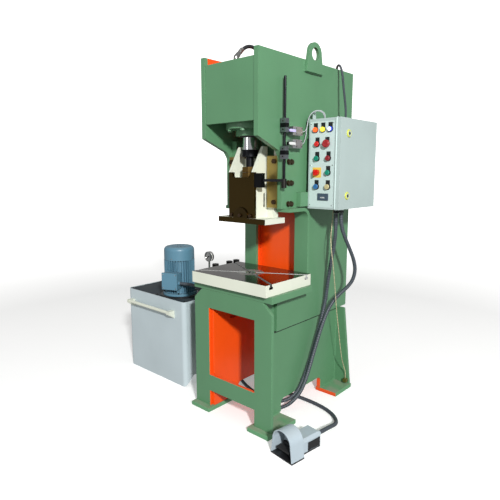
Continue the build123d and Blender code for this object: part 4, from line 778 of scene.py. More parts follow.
# Routes of the cords, in the machine's own millimetres
MOTOR_CONDUIT = (
    (318, 572, 1186), (318, 572, 1130), (312, 582, 1050), (296, 592, 973), (275, 602, 890), (250, 613, 765),
    (236, 616, 651), (229, 598, 560), (223, 562, 451), (220, 524, 363), (218, 487, 285), (216, 446, 212),
    (213, 404, 150), (206, 366, 102), (180, 326, 66), (132, 294, 46), (60, 278, 38), (-40, 288, 36),
    (-130, 322, 30), (-212, 366, 17), (-292, 408, 14), (-362, 440, 38), (-412, 456, 104), (-436, 450, 196),
    (-445, 424, 296), (-448, 386, 396), (-448.5, 350, 484), (-448, 318, 554), (-450, 281, 604.6),
    (-461, 252.6, 636.3), (-482.9, 224.5, 662.2), (-513.4, 198.7, 680.5), (-551.24, 176.32, 690),
    (-608.73, 153.10, 690),
)
PEDAL_CONDUIT = (
    (352, 572, 1190), (352, 572, 1140), (357, 588, 1080), (366, 620, 1020), (375, 655, 958), (382, 690, 894),
    (383, 708, 830), (370, 705, 768), (342, 690, 722), (308, 664, 682), (278, 628, 632), (259, 594, 566),
    (249, 558, 488), (243, 520, 400), (240, 482, 316), (239, 443, 236), (238, 403, 164), (231, 363, 107),
    (206, 318, 59), (168, 282, 25), (122, 258, 12.5), (64, 246, 11.5), (6, 260, 11.5), (-37, 302, 11.5),
    (-50, 360, 11.5), (-32, 417, 11.5), (13, 457, 11.5), (75, 472, 11.5), (148, 476, 11.5),
    (228, 477, 11.5), (306, 469, 11.5), (378, 451, 11.5), (440, 419, 11.5), (486, 370, 15),
    (511, 312, 33), (521, 256, 50), (519.6, 200.5, 56), (512.7, 151, 56),
)
HEAD_CONDUIT = (
    (60, 850, 1950), (112, 850, 1950), (148, 826, 1984), (162, 784, 2032), (192, 744, 2058), (230, 714, 2046),
    (255, 698, 2000), (267, 690, 1944), (279, 684, 1888), (291, 679, 1830), (300, 676, 1780),
    (300, 676, 1735),
)
EARTH_WIRE = (
    (280, 600, 1212), (280, 600, 1160), (283, 586, 1100), (292, 562, 1040), (307, 548, 975),
    (318, 552, 900), (318, 577, 785), (312, 606, 668), (307, 630, 583), (303, 652, 512), (300, 674, 440),
    (294, 708, 330), (288, 746, 220), (283, 788, 148), (280, 814, 106), (280, 814, 62),
)
UPPER_SWITCH = (
    (228, 334, 1640), (228, 356, 1640), (229, 378, 1651), (230, 389, 1678), (232, 393, 1710),
    (242, 401, 1740), (262, 418, 1758), (286, 440, 1758), (302, 455, 1741), (302, 455, 1717),
)
LOWER_SWITCH = (
    (218, 334, 1573), (218, 356, 1573), (218, 376, 1584), (219, 390, 1612), (220, 396, 1650),
    (220, 402, 1690), (224, 412, 1726), (238, 426, 1750), (258, 444, 1760), (278, 461, 1753),
    (286, 470, 1736), (286, 470, 1717),
)
CAP_HOSE = (
    (-45, 126, 2047), (-45, 164.9, 2085.9), (-46, 220, 2109), (-48, 282, 2103), (-50, 340, 2070),
    (-52, 388, 2012), (-54, 428, 1932), (-57, 474, 1840), (-60, 530, 1748), (-62, 576, 1652),
    (-64, 606, 1540), (-68, 622, 1410), (-72, 630, 1260), (-76, 632, 1090), (-80, 630, 920),
    (-84, 624, 750), (-88, 616, 590), (-92, 606, 440), (-97, 596, 310), (-108, 584, 205),
    (-134, 572, 116), (-186, 564, 50), (-256, 562, 20), (-330, 566, 20), (-386, 570, 52),
    (-412, 574, 116), (-417, 576, 206), (-414, 577, 320), (-415, 576, 430), (-420, 575, 506),
    (-438, 574, 572), (-474, 573, 619), (-528, 572, 640), (-578, 572, 640),
)
SIDE_HOSE = (
    (40, 302, 1790), (40, 356, 1790), (41, 416, 1780), (44, 476, 1752), (48, 532, 1704), (52, 578, 1636),
    (56, 608, 1548), (58, 626, 1420), (56, 633, 1260), (52, 633, 1090), (46, 630, 920), (38, 626, 750),
    (28, 620, 590), (14, 612, 440), (-4, 604, 320), (-30, 598, 215), (-72, 596, 130), (-134, 598, 66),
    (-206, 606, 28), (-280, 616, 18), (-342, 626, 40), (-384, 634, 92), (-402, 639, 168), (-403, 642, 280),
    (-403, 643, 400), (-410, 642, 498), (-430, 641, 568), (-470, 640, 618), (-524, 640, 640),
    (-578, 640, 640),
)
# Each cord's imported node, finish, slot, diameter, length and route
CORDS = {
    "motor_conduit": ("motor_cable", "conduit", "cable_black", 0.022, 2.666, MOTOR_CONDUIT),
    "pedal_conduit": ("pedal_cable", "conduit", "cable_black", 0.022, 2.498, PEDAL_CONDUIT),
    "head_conduit_sheath": ("head_conduit", "conduit", "cable_black", 0.013, 0.594, HEAD_CONDUIT),
    "upper_switch_flex": ("switch_cables", "switch_flex", "cable_black", 0.005, 0.251, UPPER_SWITCH),
    "lower_switch_flex": ("switch_cables", "switch_flex", "cable_black", 0.005, 0.315, LOWER_SWITCH),
    "cap_hose": ("hydraulic_hoses", "hose_rubber", "cable_black", 0.020, 3.254, CAP_HOSE),
    "side_hose": ("hydraulic_hoses", "hose_rubber", "cable_black", 0.020, 2.893, SIDE_HOSE),
}
EARTH_DIAMETER = 0.0065
EARTH_STRANDS = 3
EARTH_LAY = 0.026


def route_curve(name, points):
    """A smooth curve with a route's points as its control points."""
    curve = bpy.data.curves.new(name, "CURVE")
    curve.dimensions = "3D"
    spline = curve.splines.new("NURBS")
    spline.points.add(len(points) - 1)
    for control, point in zip(spline.points, points):
        control.co = (*spot(*point), 1)
    spline.order_u = 3
    spline.use_endpoint_u = True
    spline.resolution_u = 8
    return curve


def curve_line(curve):
    """The points along a curve that has no thickness."""
    bm = shape_of(curve)
    line = [vert.co.copy() for vert in bm.verts]
    bm.free()
    return line


class PRESS_OT_cords(PressStep, bpy.types.Operator):
    """Lay the conduits, switch cables, hoses and the earth wire"""

    bl_idname = "press.cords"
    bl_label = "Cords"

    def execute(self, context):
        for name, (node, finish_name, slot, diameter, length, points) in CORDS.items():
            curve = route_curve(name, points)
            curve.bevel_depth = diameter / 2
            curve.bevel_resolution = 5
            curve.use_fill_caps = True
            curve.materials.append(finish(finish_name))
            cord = bpy.data.objects.new(name, curve)
            context.scene.collection.objects.link(cord)
            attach(cord, "frame")
            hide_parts(node)
            spot(*points[0])
        self.earth_wire()
        return {"FINISHED"}

    def earth_wire(self):
        """A wire of twisted strands along its route."""
        line = curve_line(route_curve("earth_line", EARTH_WIRE))
        strand_radius = EARTH_DIAMETER / 2 / (1 + 1 / math.sin(math.pi / EARTH_STRANDS))
        offset = EARTH_DIAMETER / 2 - strand_radius
        rope = bpy.data.curves.new("earth_strands", "CURVE")
        rope.dimensions = "3D"
        rope.bevel_depth = strand_radius
        rope.bevel_resolution = 2
        for strand in range(EARTH_STRANDS):
            spline = rope.splines.new("POLY")
            spline.points.add(len(line) - 1)
            travelled = 0.0
            for index, control in enumerate(spline.points):
                travelled += (line[index] - line[index - 1]).length if index else 0.0
                turn = 2 * math.pi * (travelled / EARTH_LAY + strand / EARTH_STRANDS)
                side = Vector((math.cos(turn), math.sin(turn), 0)) * offset
                control.co = (*(line[index] + side), 1)
        wire = piece("earth_wire_strands", shape_of(rope), "frame", "earth_flex", slot="earth_sheath",
                     stands_for=("earth_wire",))


def outward(place, facing):
    """Whether a face looks away from the centre plane."""
    return facing.x * (place.x - CENTRE_X) > 0 and abs(facing.x) > FACING


def inward(place, facing):
    """Whether a face looks towards the centre plane."""
    return facing.x * (place.x - CENTRE_X) < 0 and abs(facing.x) > FACING


def frame_paint(inside):
    """Orange enamel inside the frame, green outside."""
    return "enamel_orange" if inside else "enamel_green"


def side_plate_paint(place, facing):
    """Orange inside, apart from the front edge and the stretch under the cylinder's mounting plate."""
    under_head = THROAT_TOP < place.z < MOUNT_LOW and place.y < WEB_FRONT
    return frame_paint(inward(place, facing) and not under_head and place.y >= HEAD_PLATE_BACK)


def head_plate_paint(place, facing):
    """Orange on the rear face."""
    return frame_paint(facing.y > FACING)


def rear_plate_paint(place, facing):
    """Orange on the front face."""
    return frame_paint(facing.y < -FACING)


def web_paint(place, facing):
    """Orange up to the head, green above, matching the head's green inside and standing in as painted shade on
    the web's top.
    """
    return frame_paint(place.z <= WEB_COAT_TOP)


def flange_paint(place, facing):
    """Orange on the faces that look into the frame, between the side plates."""
    between = abs(place.x - CENTRE_X) < PLATE_OUTER
    return frame_paint(between and (facing.y > TILTED or facing.z > TILTED))


def wall_paint(place, facing):
    """Green outside, orange inside and on the cut edges."""
    return frame_paint(not outward(place, facing))


def end_plate_paint(place, facing):
    """Orange between the walls, apart from the two outer faces and the top edges."""
    outer = facing.y < -FACING if place.y < BASE_MIDDLE_Y else facing.y > FACING
    top = place.z > high("base_end_plates").z - MM
    return frame_paint(not outer and not top and abs(place.x - CENTRE_X) <= WALL_OUTER)


def pad_paint(place, facing):
    """Orange on the front edges of the rear pads."""
    return "enamel_orange" if facing.y < -FACING and place.y > BASE_MIDDLE_Y else "pad_green"


def mount_plate_paint(place, facing):
    """Orange on top."""
    return frame_paint(facing.z > FACING)


def bracket_paint(place, facing):
    """Green lugs and tubes, grey ears above the panel."""
    return "panel_grey" if EAR_FOOT < place.z < EAR_TOP else "enamel_green"


# Welds: the lugs' places in the machine's own millimetres, their beads' share of a weld, and runs in metres
LUG_ENDS = (382, 546)
LUG_FOOT = 1966
LUG_TOP = 2030
LUG_BEAD = 0.8
FRONT_PAD_RUN = 195 * MM
REAR_PAD_RUN = 175 * MM
# A black bead just under the jaw's lower edge: a painted shadow line.
SHADOW_LINE_START = 165 * MM
SHADOW_LINE_DROP = 8 * MM
SHADOW_LINE_RADIUS = 5.5 * MM


class PRESS_OT_frame(PressStep, bpy.types.Operator):
    """Paint the frame and the base, green outside and orange inside"""

    bl_idname = "press.frame"
    bl_label = "Frame"

    def execute(self, context):
        edge = sizes().plate_edge
        cuts = [level_cut(THROAT_TOP), level_cut(MOUNT_LOW), depth_cut(HEAD_PLATE_BACK), depth_cut(WEB_FRONT)]
        for node in ("side_plate_left", "side_plate_right"):
            eased(node, edge, side_plate_paint, cuts)
        eased("head_front_plate", edge, head_plate_paint)
        eased("throat_flanges", edge, flange_paint, flank_cuts(PLATE_OUTER))
        eased("column_web", edge, web_paint, [level_cut(WEB_COAT_TOP)])
        eased("column_rear_plate", edge, rear_plate_paint)
        eased("frame_brackets", edge * 0.6, bracket_paint, [level_cut(EAR_FOOT)])
        eased("base_side_plates", edge, wall_paint)
        eased("base_end_plates", edge, end_plate_paint, flank_cuts(WALL_OUTER))
        eased("foot_pads", edge, pad_paint)
        eased("table_support_plate", edge, "enamel_green")
        self.welds()
        return {"FINISHED"}

    def welds(self):
        """Beads where the base's plates and the lugs meet the frame, and a black bead under the jaw as a
        painted shadow line.
        """
        radius = sizes().weld
        pad_top = high("foot_pads").z
        front = low("base_side_plates").y
        back = high("base_side_plates").y
        jaw_low = low("side_plate_left").z
        beads = bmesh.new()
        jaw_shadow_line = bmesh.new()
        for side in (-1, 1):
            wall = CENTRE_X + side * WALL_OUTER
            for corner in (front, back):
                bead(beads, Vector((wall, corner, pad_top)), Vector((wall, corner, jaw_low)), radius)
            for corner, run in ((front, FRONT_PAD_RUN), (back, -REAR_PAD_RUN)):
                bead(beads, Vector((wall, corner, pad_top)), Vector((wall, corner + run, pad_top)), radius)
            plate = side * PLATE_OUTER / MM
            feet = [spot(plate, depth, LUG_FOOT) for depth in LUG_ENDS]
            tops = [spot(plate, depth, LUG_TOP) for depth in LUG_ENDS]
            for start, end in (*zip(feet, tops), feet):
                bead(beads, start, end, radius * LUG_BEAD)
            # Painted shadow: a black bead along the wall just under the jaw's lower edge.
            corner = Vector((wall + side * MM, 0, jaw_low - SHADOW_LINE_DROP))
            bead(jaw_shadow_line, corner + Y_AXIS * (HEAD_FRONT + SHADOW_LINE_START), corner + Y_AXIS * back, SHADOW_LINE_RADIUS)
        piece("weld_beads", beads, "frame", "enamel_green", slot="frame_green")
        piece("jaw_seams", jaw_shadow_line, "frame", "rubber", slot="black_plastic")


def table_paint(place, facing):
    """Cream sides, ground top, milled slots with their floors painted dark as painted shade."""
    inset = min(place.x - low("table").x, high("table").x - place.x,
                place.y - low("table").y, high("table").y - place.y)
    if inset < MM and facing.z < FACING:
        return "enamel_cream"
    if facing.z > FACING:
        # Painted shade: faces that look up below the top, the slot floors, are dark steel.
        return "table_steel" if place.z > high("table").z - MM else "dark_steel"
    return "milled_steel"


BORE_RING = profile((20.5, -5.5), (20.5, -0.8), (21.5, 0), (30.5, 0), (31.5, -0.8), (31.5, -5.5),
                    (20.5, -5.5))


class PRESS_OT_table(PressStep, bpy.types.Operator):
    """Grind the table's top and paint its sides"""

    bl_idname = "press.table"
    bl_label = "Table"

    def execute(self, context):
        eased("table", sizes().sheet_edge, table_paint)
        bm = bmesh.new()
        turned(bm, BORE_RING, Vector((CENTRE_X, middle("table").y, high("table").z)), Z_AXIS, LARGE_ROUND)
        piece("table_bore_ring", bm, "frame", "bright_steel", slot="ground_steel")
        return {"FINISHED"}


CAP_RISE = 140 * MM
CAP_RADIUS = 100 * MM
BARREL_RADIUS = 108 * MM


def barrel_paint(place, facing):
    """Green flange, orange barrel, steel fittings."""
    off_axis = math.hypot(place.x - CENTRE_X, place.y - middle("cylinder_gland").y)
    if place.z < MOUNT_LOW + MM:
        return "enamel_green"
    on_cap = place.z > middle("cylinder_barrel").z + CAP_RISE and off_axis < CAP_RADIUS
    return "ground_steel" if on_cap or off_axis > BARREL_RADIUS else "enamel_orange"


def rod_finish(place, facing):
    """Chrome above, dark at its screwed end."""
    return "black_steel" if place.z < ROD_THREAD_TOP else "chrome"


def bolt_finish(place, facing):
    """Browned guide bolts, painted flange bolts, a brass earth terminal."""
    if place.z > low("cylinder_gland").z:
        return "enamel_green"
    return "brass" if place.z < low("table").z else "brown_bolts"


ROD_WIPER = profile((41.5, 2), (41.5, -6), (46, -7), (56, -3), (58, 2), (41.5, 2))
GUIDE_WASHER = 16.5 * MM
GUIDE_BOLT_SETBACKS = (35, 9)
GUIDE_BOLT_HEIGHTS = (1250, 1364, 1478)


class PRESS_OT_cylinder(PressStep, bpy.types.Operator):
    """Finish the cylinder, its rod and the bolts of the frame"""

    bl_idname = "press.cylinder"
    bl_label = "Cylinder"

    def execute(self, context):
        fine = sizes().fine_edge
        eased("cylinder_mount_plate", fine, mount_plate_paint)
        eased("cylinder_barrel", 2 * fine, barrel_paint)
        eased("cylinder_gland", 2 * fine, "enamel_green")
        eased("piston_rod", fine, rod_finish, [level_cut(ROD_THREAD_TOP)])
        eased("frame_bolts", fine, bolt_finish)
        bm = bmesh.new()
        gland_foot = Vector((CENTRE_X, middle("cylinder_gland").y, low("cylinder_gland").z))
        turned(bm, ROD_WIPER, gland_foot, Z_AXIS, LARGE_ROUND)
        piece("rod_wiper", bm, "frame", "rubber", slot="black_plastic")
        self.guide_washers()
        return {"FINISHED"}

    def guide_washers(self):
        """A washer under each guide bolt's head, on the side plates."""
        bm = bmesh.new()
        rear = high("guide_blocks").y
        for side in (-1, 1):
            for setback in GUIDE_BOLT_SETBACKS:
                for height in GUIDE_BOLT_HEIGHTS:
                    base = Vector((CENTRE_X + side * PLATE_OUTER, rear - setback * MM, height * MM))
                    washer(bm, base, X_AXIS * side, GUIDE_WASHER)
        piece("guide_washers", bm, "frame", "brown_bolts", slot="black_steel")


CHEEK_SLOT = spot(85, 182, 1271)
CHEEK_SLOT_HALF = (12 * MM, 5.6 * MM, 41.5 * MM)


def slide_paint(place, facing):
    """Cream, with the inside of the slot through the right cheek painted dark as painted shade."""
    inside = all(abs(off) < half for off, half in zip(place - CHEEK_SLOT, CHEEK_SLOT_HALF))
    # Painted shade: the slot's inner faces are black.
    return "black_steel" if inside and abs(facing.x) < ASIDE else "enamel_cream"


def platen_paint(place, facing):
    """Front and sole browned, partly the steel's oiled colour and partly a painted reflection; cream sides and
    top.
    """
    return "browned_steel" if facing.y < -FACING or facing.z < -FACING else "enamel_cream"


def fastener_finish(place, facing):
    """Bronze nuts, browned clamp bolts."""
    return "brown_bolts" if place.z < high("shank_clamp").z else "bronze"


def guide_paint(place, facing):
    """Cream, apart from the top of the left block, painted green as painted shade."""
    return "enamel_green" if place.x < CENTRE_X and place.z > high("guide_gibs").z else "enamel_cream"


class PRESS_OT_slide(PressStep, bpy.types.Operator):
    """Finish the slide, its guides, platen and tool clamp"""

    bl_idname = "press.slide"
    bl_label = "Slide"

    def execute(self, context):
        edge = sizes().sheet_edge
        eased("slide_body", edge, slide_paint)
        # Browned face: partly oiled steel, partly a painted reflection.
        eased("slide_face_plate", edge, "browned_steel")
        eased("ram_platen", edge, platen_paint)
        eased("shank_clamp", edge, "dark_bronze")
        eased("slide_fasteners", 2 * sizes().fine_edge, fastener_finish)
        eased("guide_blocks", edge, guide_paint, [level_cut(high("guide_gibs").z)])
        eased("guide_gibs", edge, "brass")
        return {"FINISHED"}


# Trip gear: places in the machine's own millimetres, radii and bands in metres
ROD_CLAMP_RADIUS = 14.5 * MM
ROLLER_WIDTH = 16.5 * MM
DOGS = ((1629, 1700), (1491, 1558))
DOG_BAND_PROUD = 0.6 * MM
DOG_BAND_HALF = 11 * MM
DOG_SCREW_INSET = 14
DOG_SCREW = 4.2 * MM
SWITCH_FACE = (high("switch_boxes").x - CENTRE_X) / MM
SWITCH_LEVELS = (1640, 1573)
COVER_ENDS = (262, 322)
COVER_HALF = 19
COVER_THICKNESS = 2
COVER_SCREW_ENDS = (267, 317)
COVER_SCREW_RISES = (-14, 14)
COVER_SCREW = 2.6 * MM


def trip_arm_finish(place, facing):
    """Black block and arm, darker clamp at the rod's foot."""
    off_axis = math.hypot(place.x - middle("trip_rod").x, place.y - middle("trip_rod").y)
    return "dark_steel" if off_axis < ROD_CLAMP_RADIUS else "black_steel"


def lever_finish(arm):
    """A plastic arm with a dark roller and pin."""
    roller_end = low("limit_lever_upper").x + ROLLER_WIDTH
    return lambda place, facing: "dark_steel" if place.x < roller_end else arm


class PRESS_OT_trip_gear(PressStep, bpy.types.Operator):
    """Finish the stroke's trip rod, its dogs and the limit switches"""

    bl_idname = "press.trip_gear"
    bl_label = "Trip gear"

    def execute(self, context):
        fine = sizes().fine_edge
        eased("trip_arm", fine, trip_arm_finish)
        eased("trip_rod", fine, "black_steel")
        eased("trip_dogs", 2 * fine, "dog_steel")
        eased("switch_boxes", 2 * fine, "cast_grey")
        eased("limit_lever_upper", fine, lever_finish("violet_plastic"))
        eased("limit_lever_lower", fine, lever_finish("white_plastic"))
        self.dog_bands()
        self.switch_covers()
        return {"FINISHED"}

    def dog_bands(self):
        """A black band round the middle of each dog, and its locking screws."""
        bands = bmesh.new()
        screws = bmesh.new()
        half = (high("trip_dogs") - low("trip_dogs")) / 2
        corner = Vector((half.x + DOG_BAND_PROUD, half.y + DOG_BAND_PROUD, DOG_BAND_HALF))
        axis = middle("trip_rod")
        for bottom, top in DOGS:
            centre = Vector((axis.x, axis.y, (bottom + top) / 2 * MM))
            block(bands, centre - corner, centre + corner)
            for level in (bottom + DOG_SCREW_INSET, top - DOG_SCREW_INSET):
                screw(screws, Vector((axis.x, axis.y - half.y, level * MM)), -Y_AXIS, DOG_SCREW)
        ease(bands, DOG_BAND_PROUD)
        piece("dog_bands", bands, "ram", "black_steel", slot="black_steel")
        piece("dog_screws", screws, "ram", "dark_steel", slot="black_steel")

    def switch_covers(self):
        """A cover plate with four screws on each switch."""
        covers = bmesh.new()
        screws = bmesh.new()
        outer = SWITCH_FACE + COVER_THICKNESS
        for level in SWITCH_LEVELS:
            block(covers, spot(SWITCH_FACE, COVER_ENDS[0], level - COVER_HALF),
                  spot(outer, COVER_ENDS[1], level + COVER_HALF))
            for along in COVER_SCREW_ENDS:
                for rise in COVER_SCREW_RISES:
                    screw(screws, spot(outer, along, level + rise), X_AXIS, COVER_SCREW)
        ease(covers, sizes().fine_edge)
        piece("switch_covers", covers, "frame", "cast_grey", slot="switch_grey")
        piece("switch_screws", screws, "frame", "dark_steel", slot="black_steel")


# Control panel: places in millimetres from its left side, its front and its bottom
ISOLATOR_PLATE = (57, 201, 29)
ISOLATOR_PLATE_PROUD = 1.6
COUNTER_TOP = 90
LAMP_GAPS = (68, 115)
FRONT_PLATE = ((8, -1.2, 10), (163, 0, PANEL_HEIGHT - 16))
FRONT_SCREWS = [(across, -1.2, up) for across in (14, 157) for up in (22, 240, 464)]
LOCK_COLLAR = profile((14.6, 0), (14.6, 6.2), (16.5, 6.8), (20, 5), (21, 0), (14.6, 0))
LOCK_FACE = profile((9.5, 0), (9.5, 0.8), (13.8, 0.8), (13.8, 0), (9.5, 0))
# A pale bead on the door's front edge, standing in for its highlight.
DOOR_HIGHLIGHT_INSETS = (4 * MM, 3 * MM)
DOOR_HIGHLIGHT_RADIUS = 4.2 * MM
COUNTER = (101, -6, 68)
COUNTER_HALF = (28 * MM, 11 * MM)
COUNTER_FIGURE = 11 * MM
# Across, back, radius and length of each gland, and how its nuts stand out
LOWER_GLANDS = ((83, 171, 15, 34), (117, 171, 14, 30), (45, 199, 6, 8))
UPPER_GLANDS = ((65, 275, 10, 24), (67, 54, 5, 6), (51, 69, 5, 6))
GLAND_BODY_PROUD = 4
GLAND_BODY_SHARE = 0.3
GLAND_CAP_PROUD = 3
GLAND_CAP_START = 0.55


def on_panel(across, back, up):
    """A point of the panel in millimetres from its left side, its front and its bottom."""
    return Vector((PANEL_LOW.x + across * MM, PANEL_FRONT + back * MM, PANEL_BOTTOM + up * MM))


def panel_legend_finish(place, facing):
    """Black collars and legends, a yellow isolator plate and a dark counter."""
    off = (place - on_panel(0, 0, 0)) / MM
    across, up, half = ISOLATOR_PLATE
    near = abs(off.x - across) < half and abs(off.z - up) < half
    if near and off.y > -ISOLATOR_PLATE_PROUD and facing.y < ASIDE:
        return "yellow_plastic"
    return "counter_window" if off.z < COUNTER_TOP and off.y < 0 else "black_plastic"


def lamp_finish(place, facing):
    """Red, yellow and white lenses, the last in a blue rim."""
    across = (place.x - PANEL_LOW.x) / MM
    if across > LAMP_GAPS[1]:
        return "lamp_white" if facing.y < -FACING else "lamp_blue"
    return "lamp_red" if across < LAMP_GAPS[0] else "lamp_yellow"


class PRESS_OT_panel(PressStep, bpy.types.Operator):
    """Finish the control panel, its door and what is on its front"""

    bl_idname = "press.panel"
    bl_label = "Control panel"

    def execute(self, context):
        edge = sizes().sheet_edge
        fine = sizes().fine_edge
        eased("panel_box", edge, "panel_grey")
        eased("panel_door", 2 * edge, "panel_grey")
        eased("panel_legends", fine / 2, panel_legend_finish)
        eased("panel_lamps", fine / 4, lamp_finish)
        for node in ("button_red", "button_green", "button_maroon", "button_blue", "button_cream"):
            coat(node, node.split("_")[1] + "_plastic")
        coat("button_green_lower", "green_plastic")
        coat("emergency_stop", "stop_red")
        eased("isolator_knob", fine, "red_plastic")
        for node in ("door_lock_lower", "door_lock_upper"):
            eased(node, fine / 2, "black_plastic")
        self.front_plate()
        self.lock_rings()
        self.door_lip()
        self.gland_nuts()
        self.counter()
        return {"FINISHED"}

    def front_plate(self):
        """The plate that carries the buttons, with its screws."""
        bm = bmesh.new()
        block(bm, *(on_panel(*corner) for corner in FRONT_PLATE))
        ease(bm, 0.5 * MM)
        piece("panel_front_plate", bm, "frame", "panel_pale", slot="panel_grey")
        screws = bmesh.new()
        for place in FRONT_SCREWS:
            screw(screws, on_panel(*place), -Y_AXIS, sizes().screw * 0.75)
        piece("panel_screws", screws, "frame", "ground_steel", slot="ground_steel")

    def lock_rings(self):
        """A coloured collar round each lock of the door and a pale face on each lock."""
        collars = bmesh.new()
        for node in ("door_lock_lower", "door_lock_upper"):
            head_radius = (high(node).z - low(node).z) / 2
            across = high(node).y - head_radius
            turned(collars, LOCK_COLLAR, Vector((DOOR_OUTER, across, middle(node).z)), X_AXIS, SMALL_ROUND)
            face = bmesh.new()
            turned(face, LOCK_FACE, Vector((high(node).x, across, middle(node).z)), X_AXIS, SMALL_ROUND)
            piece(node + "_face", face, node, "panel_pale", slot="panel_grey")
        piece("lock_collars", collars, "panel_door", "lock_yellow", slot="panel_grey")

    def door_lip(self):
        """A pale bead along the door's front edge: a painted highlight where that edge catches the light."""
        bm = bmesh.new()
        inset, trim = DOOR_HIGHLIGHT_INSETS
        foot = Vector((low("panel_door").x + inset, PANEL_FRONT, PANEL_BOTTOM + trim))
        bead(bm, foot, foot + Z_AXIS * (PANEL_TOP - PANEL_BOTTOM - 2 * trim), DOOR_HIGHLIGHT_RADIUS)
        piece("door_lip", bm, "panel_door", "panel_pale", slot="panel_grey")

    def gland_nuts(self):
        """Hexagon nuts on the conduit glands."""
        bm = bmesh.new()
        down = -Z_AXIS
        for across, back, radius, length in LOWER_GLANDS:
            base = on_panel(across, back, 0)
            hex_head(bm, base, down, (radius + GLAND_BODY_PROUD) * MM, length * GLAND_BODY_SHARE * MM)
            cap = base + down * length * GLAND_CAP_START * MM
            hex_head(bm, cap, down, (radius + GLAND_CAP_PROUD) * MM, length * (1 - GLAND_CAP_START) * MM)
        for across, back, radius, length in UPPER_GLANDS:
            base = on_panel(across, back, PANEL_HEIGHT)
            hex_head(bm, base, Z_AXIS, (radius + GLAND_CAP_PROUD) * MM, length / 2 * MM)
        piece("gland_nuts", bm, "frame", "black_plastic", slot="black_plastic")

    def counter(self):
        """The stroke counter's window and its figures."""
        centre = on_panel(*COUNTER)
        across, up = COUNTER_HALF
        bm = bmesh.new()
        block(bm, centre + Vector((-across, -0.8 * MM, -up)), centre + Vector((across, 0, up)))
        ease(bm, 0.3 * MM)
        piece("counter_glass", bm, "frame", "counter_window", slot="black_plastic")
        stand = Matrix.Translation(centre + Vector((0, -1, -4)) * MM) @ Matrix.Rotation(math.pi / 2, 4, "X")
        lettered("counter_figures", "00000", COUNTER_FIGURE, stand, "frame", "white_plastic")


# Power pack: the terminal box's lid and screws in millimetres from its foot, other sizes in metres
TERMINAL_BOX_TURN = math.radians(22)
TERMINAL_LID = ((-57, -3, -3), (57, 8, 111))
TERMINAL_SCREWS = [(across, -3, up) for across in (-47, 47) for up in (8, 100)]
TERMINAL_BOX_FRONT = 146 * MM
TERMINAL_BOX_RISE = 41 * MM
FLANGE_THICKNESS = 26 * MM
FLANGE_BOLT_CIRCLE = 109.5 * MM
FLANGE_BOLT = (6.6 * MM, 7 * MM)
COWL_RADIUS = 103 * MM
COWL_SCREW_RISE = 12 * MM
MOTOR_GASKET = profile((0, 0), (133, 0), (133, 8), (129, 11), (116.5, 11), (116.5, 4), (0, 4))
FILLER_CAP = profile((0, 0), (40, 0), (40, 6), (30, 9), (30, 30), (37, 34), (37, 58), (33, 64), (0, 66))
FILLER_PLACE = (110 * MM, 360 * MM)
LID_SCREWS = [(across, along) for across in (0.03, 0.5, 0.97) for along in (0.03, 0.97)]
GAUGE_REACH = 40 * MM
GAUGE_STEM_FOOT = 112 * MM
GAUGE_RADIUS = 36 * MM
GAUGE_DIAL = profile((0, 0), (31.5, 0), (31.5, 0.8), (0, 0.8))
GAUGE_SWEEP = (225, 270)
GAUGE_TICKS = 40
GAUGE_TICK_RIM = 29 * MM
GAUGE_TICK = (0.6 * MM, 0.4 * MM)
GAUGE_FIGURES = (0, 100, 200, 300, 400)
GAUGE_FIGURE_RADIUS = 18 * MM
GAUGE_FIGURE = 5.5 * MM
HOSE_END = (10.2 * MM, 52 * MM)


def tank_paint(place, facing):
    """Grey tank, cream handle."""
    return "enamel_cream" if place.y < TANK_FRONT - MM else "tank_grey"


def manifold_finish(place, facing):
    """Dark block and caps, bright gauge and stem."""
    gauge = middle("gauge_needle")
    near = abs(place.x - gauge.x) < GAUGE_REACH and place.y < gauge.y + GAUGE_REACH
    above = place.z > low("valve_manifold").z + GAUGE_STEM_FOOT
    return "bright_steel" if near and above else "dark_steel"


def round_motor(start):
    """Four directions round the motor's upright axis, from a first angle in degrees."""
    angles = [math.radians(start + 90 * index) for index in range(4)]
    return [Vector((math.cos(angle), math.sin(angle), 0)) for angle in angles]


def on_dial(share):
    """The direction from the gauge's hub to a share of its scale."""
    start, sweep = GAUGE_SWEEP
    angle = math.radians(start - sweep * share)
    return Vector((math.cos(angle), 0, math.sin(angle)))


